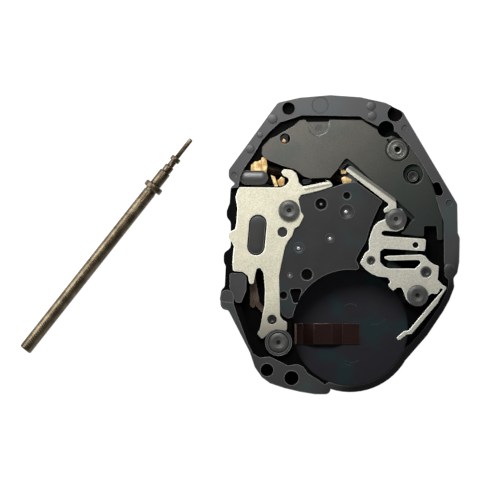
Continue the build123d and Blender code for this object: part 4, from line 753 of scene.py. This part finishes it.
def crowned(name, values):
    work = bmesh.new()
    ends = [place(pixel) for pixel in values["ends"]]
    way = math.atan2(ends[0].y - ends[1].y, ends[0].x - ends[1].x)
    turns = [(middle, way - math.pi / 2 + side * math.pi + step * math.pi / crownSteps)
             for side, middle in enumerate(ends) for step in range(crownSteps + 1)]
    heights = [values["level"] - values["rise"] * crownFoot]
    heights += [values["level"] + values["rise"] * math.sqrt(1 - share * share) for share in crownRings]
    rings = []
    for share, height in zip(crownRings[:1] + crownRings, heights):
        radius = values["radius"] * share * mm
        rings.append([work.verts.new((middle.x + radius * math.cos(turn), middle.y + radius * math.sin(turn),
                                      height * mm)) for middle, turn in turns])
    walled(work, rings)
    piece = addObject(name, meshFrom(work, name), values["plastic"])
    piece.data.shade_smooth()
    return piece


for name, values in crowns.items():
    handed(crowned(name, values), "movement", "moulded_black")

# Fine rounded lips along the plate's upper edges, where a flat face meets a steep wall, lighter than the
# plate: a painted highlight
lips = {"line": 0.020 * mm, "lowest": 2.0 * mm, "turn": 60, "flat": 0.99, "steep": 0.3,
        "merge": 0.002 * mm}
lipWork = bmesh.new()
lipWork.from_mesh(mergedMesh("main_plate"))
lipEnds, lipLines = [], []
for edge in lipWork.edges:
    if len(edge.link_faces) == 2 and edge.calc_face_angle_signed(0) > math.radians(lips["turn"]):
        wallRise, topRise = sorted(face.normal.z for face in edge.link_faces)
        ends = [tuple(vert.co) for vert in edge.verts]
        lowest = min(end[2] for end in ends)
        if topRise > lips["flat"] and abs(wallRise) < lips["steep"] and lowest > lips["lowest"]:
            lipLines.append((len(lipEnds), len(lipEnds) + 1))
            lipEnds += ends
lipWork.free()
lipMesh = bpy.data.meshes.new("plateLipLines")
lipMesh.from_pydata(lipEnds, lipLines, [])
lipShape = Shape("plateLips", {"Line": "Float"})
lipJoined = lipShape.out("GeometryNodeMergeByDistance", 0, None, {
    "Geometry": lipShape.input("Geometry"), "Distance": lips["merge"]})
lipCurve = lipShape.out("GeometryNodeMeshToCurve", 0, None, {0: lipJoined})
lipShape.close(lipShape.swept(lipCurve, lipShape.input("Line")), lipPlastic)
lipPiece = grown("plateEdgeLips", lipShape, lipMesh, {"Line": lips["line"]}, lipPlastic)
lipPiece.data.shade_smooth()
handed(lipPiece, "movement", "moulded_black")
print("stage: marks, stud heads and crowned bosses made")

# Coil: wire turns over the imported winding's barrel
coil = {"wire": 0.020, "radius": 0.43, "turns": 118, "level": 1.425, "gap": 0.07, "ringCorners": 32,
        "left": (263.5, 169), "right": (345, 178)}
coilRun = place(coil["right"]) - place(coil["left"])
coilLength = coilRun.length - coil["gap"] * 2 * mm
coilShape = Shape("coilTurns", {"Turns": "Int", "Radius": "Float", "Wire": "Float", "Pitch": "Float"})
coilStep = coilShape.out("ShaderNodeCombineXYZ", 0, None, {"Z": coilShape.input("Pitch")})
coilPlaces = coilShape.out("GeometryNodeMeshLine", 0, None, {
    "Count": coilShape.input("Turns"), "Offset": coilStep})
coilRing = coilShape.circle(coil["ringCorners"], coilShape.input("Radius"))
coilTurn = coilShape.swept(coilRing, coilShape.input("Wire"))
coilShape.close(coilShape.strewn(coilTurn, {}, coilPlaces), coilCopper)
coilPiece = grown("coilWindingTurns", coilShape, pointMesh("coilStart", [(0, 0, 0)]), {
    "Turns": coil["turns"], "Radius": coil["radius"] * mm, "Wire": coil["wire"] * mm,
    "Pitch": coilLength / coil["turns"]}, coilCopper)
coilAim = coilRun.to_track_quat("Z", "Y").to_matrix().to_4x4()
coilBase = place(coil["left"], coil["level"]) + coilRun.normalized() * coil["gap"] * mm
coilPiece.data.transform(Matrix.Translation(coilBase) @ coilAim)
coilPiece.data.shade_smooth()
handed(coilPiece, "movement", "coil_copper", "coil_winding")

# Gold bits beside the coil: outline in pixels, lower and upper level
goldBits = {
    "bentLug": ([(250.5, 171), (250.5, 165), (256, 160.5), (261, 160), (264, 163), (264, 171)], 2.02, 2.09),
    "lugCorner": ([(261, 158), (263.5, 156.5), (266.5, 158), (267.5, 166), (266, 175), (262.5, 175),
                   (261.5, 166)], 2.10, 2.26),
    "nearFoot": ([(270.5, 175), (275, 176.5), (278.5, 186.5), (274.5, 187)], 2.05, 2.24),
    "nextFoot": ([(277, 181), (281.5, 176.5), (285, 178.5), (284, 185.5), (279.5, 187)], 2.00, 2.16),
    "coverTab": ([(281.5, 141.5), (284, 138.5), (286.5, 141), (284.5, 143.2)], 2.29, 2.36),
    "farFoot": ([(341, 178), (345, 176), (352, 179.5), (351, 184), (343, 184.5)], 2.02, 2.12),
    "farLug": ([(340, 168), (345, 165), (348, 168), (346, 174), (341, 174)], 1.97, 2.05)}
goldEdge = {"bevel": 0.035, "segments": 3}
goldWork = bmesh.new()
for pixels, *span in goldBits.values():
    walled(goldWork, [[goldWork.verts.new(place(pixel, level)) for pixel in pixels] for level in span])
goldPiece = addObject("coilTerminalBits", meshFrom(goldWork, "coilTerminals"), terminalGold)
handed(rounded(goldPiece, goldEdge["bevel"] * mm, goldEdge["segments"]), "movement", "terminal_gold",
       "coil_terminals")
print("stage: coil and terminals made")

# Stem: turned shape with a helical thread and a square tip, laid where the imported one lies
stem = {"thread": 0.40, "root": 0.386, "pitch": 0.15, "threadLength": 12.30, "runout": 0.18, "relief": 0.36,
        "reliefRise": 0.03, "flange": 0.585, "flangeLength": 0.36, "bearing": 0.35, "bearingLength": 1.00,
        "shoulder": 0.285, "shoulderLength": 0.45, "neck": 0.20, "neckLength": 0.35, "button": 0.31,
        "buttonLength": 0.30, "square": 0.27, "squareLength": 1.40, "squareSunk": 0.02, "squareTaper": 0.05,
        "squareTip": 0.72, "chamfer": 0.06, "ridgeShare": 0.30, "ridgeSteps": 28, "segments": 64,
        "bevel": 0.012, "direction": 51.7, "flangePixel": (153, 187)}
stemSteps = [("flange", 0.05), ("bearing", 0.03), ("shoulder", 0.05), ("neck", 0.0), ("button", 0.04)]
reached = stem["threadLength"] - stem["runout"]
stemProfile = [(0, 0), (stem["root"] - stem["chamfer"], 0), (stem["root"], stem["chamfer"]),
               (stem["root"], reached), (stem["relief"], reached + stem["reliefRise"]),
               (stem["relief"], stem["threadLength"])]
reached = stem["threadLength"]
for step, chamfer in stemSteps:
    radius, length = stem[step], stem[step + "Length"]
    stemProfile += [(radius - chamfer, reached), (radius, reached + chamfer),
                    (radius, reached + length - chamfer), (radius - chamfer, reached + length)]
    reached += length
stemProfile.append((0, reached))
stemWork = lathe(dict.fromkeys(stemProfile), mm, stem["segments"])
squareEnd = reached + stem["squareLength"]
squareRings = []
for level, share in ((reached - stem["squareSunk"], 1.0), (squareEnd - stem["squareTaper"], 1.0),
                     (squareEnd, stem["squareTip"])):
    side = stem["square"] / 2 * share * mm
    squareRings.append([stemWork.verts.new((x * side, y * side, level * mm))
                        for x, y in ((-1, -1), (1, -1), (1, 1), (-1, 1))])
walled(stemWork, squareRings)

ridge = stem["pitch"] * stem["ridgeShare"]
threadSpan = stem["threadLength"] - stem["runout"] - stem["chamfer"] - ridge * 2
threadShape = Shape("stemThread", dict.fromkeys(("Radius", "Height", "Turns", "Ridge"), "Float"))
threadPath = threadShape.out("GeometryNodeCurveSpiral", 0, None, {
    "Resolution": stem["ridgeSteps"], "Rotations": threadShape.input("Turns"),
    "Start Radius": threadShape.input("Radius"), "End Radius": threadShape.input("Radius"),
    "Height": threadShape.input("Height")})
threadShape.close(threadShape.swept(threadPath, threadShape.input("Ridge")), stemSteel)
threadPiece = grown("stemThreadRidge", threadShape, pointMesh("threadStart", [(0, 0, 0)]), {
    "Radius": (stem["thread"] - ridge) * mm, "Height": threadSpan * mm,
    "Turns": threadSpan / stem["pitch"], "Ridge": ridge * mm}, stemSteel)
droop = math.atan2(stem["flange"] - stem["thread"], stem["threadLength"])
stemLay = (Matrix.Translation(place(stem["flangePixel"], stem["flange"] + levels["table"]))
           @ Matrix.Rotation(math.radians(stem["direction"]), 4, "Z") @ Matrix.Rotation(-droop, 4, "Y")
           @ Matrix.Translation((-(stem["threadLength"] + stem["flangeLength"] / 2) * mm, 0, 0))
           @ Matrix.Rotation(math.pi / 2, 4, "Y"))
stemPiece = addObject("windingStemTurned", meshFrom(stemWork, "windingStem"), stemSteel)
rounded(stemPiece, stem["bevel"] * mm)
stemPiece.data.transform(stemLay)
threadPiece.data.transform(stemLay @ Matrix.Translation((0, 0, (stem["chamfer"] + ridge) * mm)))
threadPiece.data.shade_smooth()
handed(stemPiece, "stem", "stem_steel", "winding_stem")
handed(threadPiece, "stem", "stem_steel")
print("stage: stem made")

# Table: white paper that glows a little where it is seen
table = {"reach": 350, "paper": (0.86, 0.86, 0.86), "glow": 1.15, "glowShare": 0.84}
tableCorners = [(x * table["reach"] * mm, y * table["reach"] * mm, levels["table"] * mm)
                for x, y in ((-1, -1), (1, -1), (1, 1), (-1, 1))]
floorMesh = bpy.data.meshes.new("floor")
floorMesh.from_pydata(tableCorners, [], [(0, 1, 2, 3)])
floorGraph = Graph("floorPaper")
rays = floorGraph.node("ShaderNodeLightPath")
cameraRay, glossyRay, throughRay = [Wire(floorGraph, rays.outputs[label]) for label in (
    "Is Camera Ray", "Is Glossy Ray", "Is Transmission Ray")]
seen = floorGraph.maths("MAXIMUM", cameraRay, floorGraph.maths("MAXIMUM", glossyRay, throughRay))
paper = floorGraph.out("ShaderNodeBsdfDiffuse", 0, None, {"Color": table["paper"]})
glow = floorGraph.out("ShaderNodeEmission", 0, None, {"Color": (1, 1, 1), "Strength": table["glow"]})
paperMix = floorGraph.out("ShaderNodeMixShader", 0, None, {
    "Fac": seen * table["glowShare"], 1: paper, 2: glow})
floor = addObject("floor", floorMesh, floorGraph.show(paperMix))


def lamp(name, where, aim, values):
    light = bpy.data.lights.new(name, "AREA")
    light.shape = "DISK"
    light.size = values["size"] * mm
    light.energy = values["energy"]
    made = bpy.data.objects.new(name, light)
    made.location = where
    made.rotation_euler = (aim - where).to_track_quat("-Z", "Y").to_euler()
    made.visible_camera = False
    bpy.context.scene.collection.objects.link(made)
    return made


keyLamp = {"where": (-8, 20, 34), "aim": (-2, 3, 0), "size": 18, "energy": 0.0112}
lamp("keyLamp", Vector(keyLamp["where"]) * mm, Vector(keyLamp["aim"]) * mm, keyLamp)

# A soft strip that lies along the stem, on its upper-left side
stemStrip = {"size": 18, "wide": 6, "off": 7.0, "rise": 4.5, "energy": 0.0027}
stemWay = math.radians(stem["direction"])
stripAlong = Vector((math.cos(stemWay), math.sin(stemWay), 0))
stripSide = Vector((-math.sin(stemWay), math.cos(stemWay), 0))
stripAim = place(stem["flangePixel"], levels["table"]) - stripAlong * stem["threadLength"] / 2 * mm
stripPlace = stripAim + (stripSide * stemStrip["off"] + Vector((0, 0, stemStrip["rise"]))) * mm
stripBack = (stripPlace - stripAim).normalized()
strip = lamp("stemStripLamp", stripPlace, stripAim, stemStrip)
strip.data.shape = "RECTANGLE"
strip.data.size_y = stemStrip["wide"] * mm
strip.rotation_euler = Matrix((stripAlong, stripBack.cross(stripAlong), stripBack)).transposed().to_euler()

# The room is bright near the horizon and dim overhead, so that rounded edges catch light
roomLight = {"From Min": 0.35, "From Max": 0.70, "To Min": 1.10, "To Max": 0.14}
seenLevel = 1.0
world = bpy.data.worlds.new("studio")
world.use_nodes = True
bpy.context.scene.world = world
room = Tree(world.node_tree)
roomRise = room.out("ShaderNodeSeparateXYZ", "Z", None, {0: room.out("ShaderNodeTexCoord", "Generated")})
roomBand = room.out("ShaderNodeMapRange", "Result", {"interpolation_type": "SMOOTHSTEP"}, {
    "Value": roomRise, **roomLight})
roomLevel = room.out("ShaderNodeMapRange", "Result", None, {
    "Value": room.out("ShaderNodeLightPath", "Is Camera Ray"), "To Min": roomBand, "To Max": seenLevel})
background = world.node_tree.nodes["Background"]
room.link(roomLevel, background.inputs["Strength"])
room.link((1, 1, 1), background.inputs["Color"])

# Camera straight above, far enough away for a nearly flat view
view = {"height": 1000, "span": 30, "level": 2.5, "sensor": 36, "middle": (250, 250), "clip": (0.01, 10)}
camera = bpy.data.cameras.new("camera")
camera.sensor_width = view["sensor"]
camera.lens = view["sensor"] * (view["height"] - view["level"]) / view["span"]
camera.clip_start, camera.clip_end = view["clip"]
cameraObject = bpy.data.objects.new("camera", camera)
cameraObject.location = place(view["middle"], view["height"])
bpy.context.scene.collection.objects.link(cameraObject)
bpy.context.scene.camera = cameraObject
bpy.context.scene.view_settings.view_transform = "Standard"
print("stage: lamps and camera set")
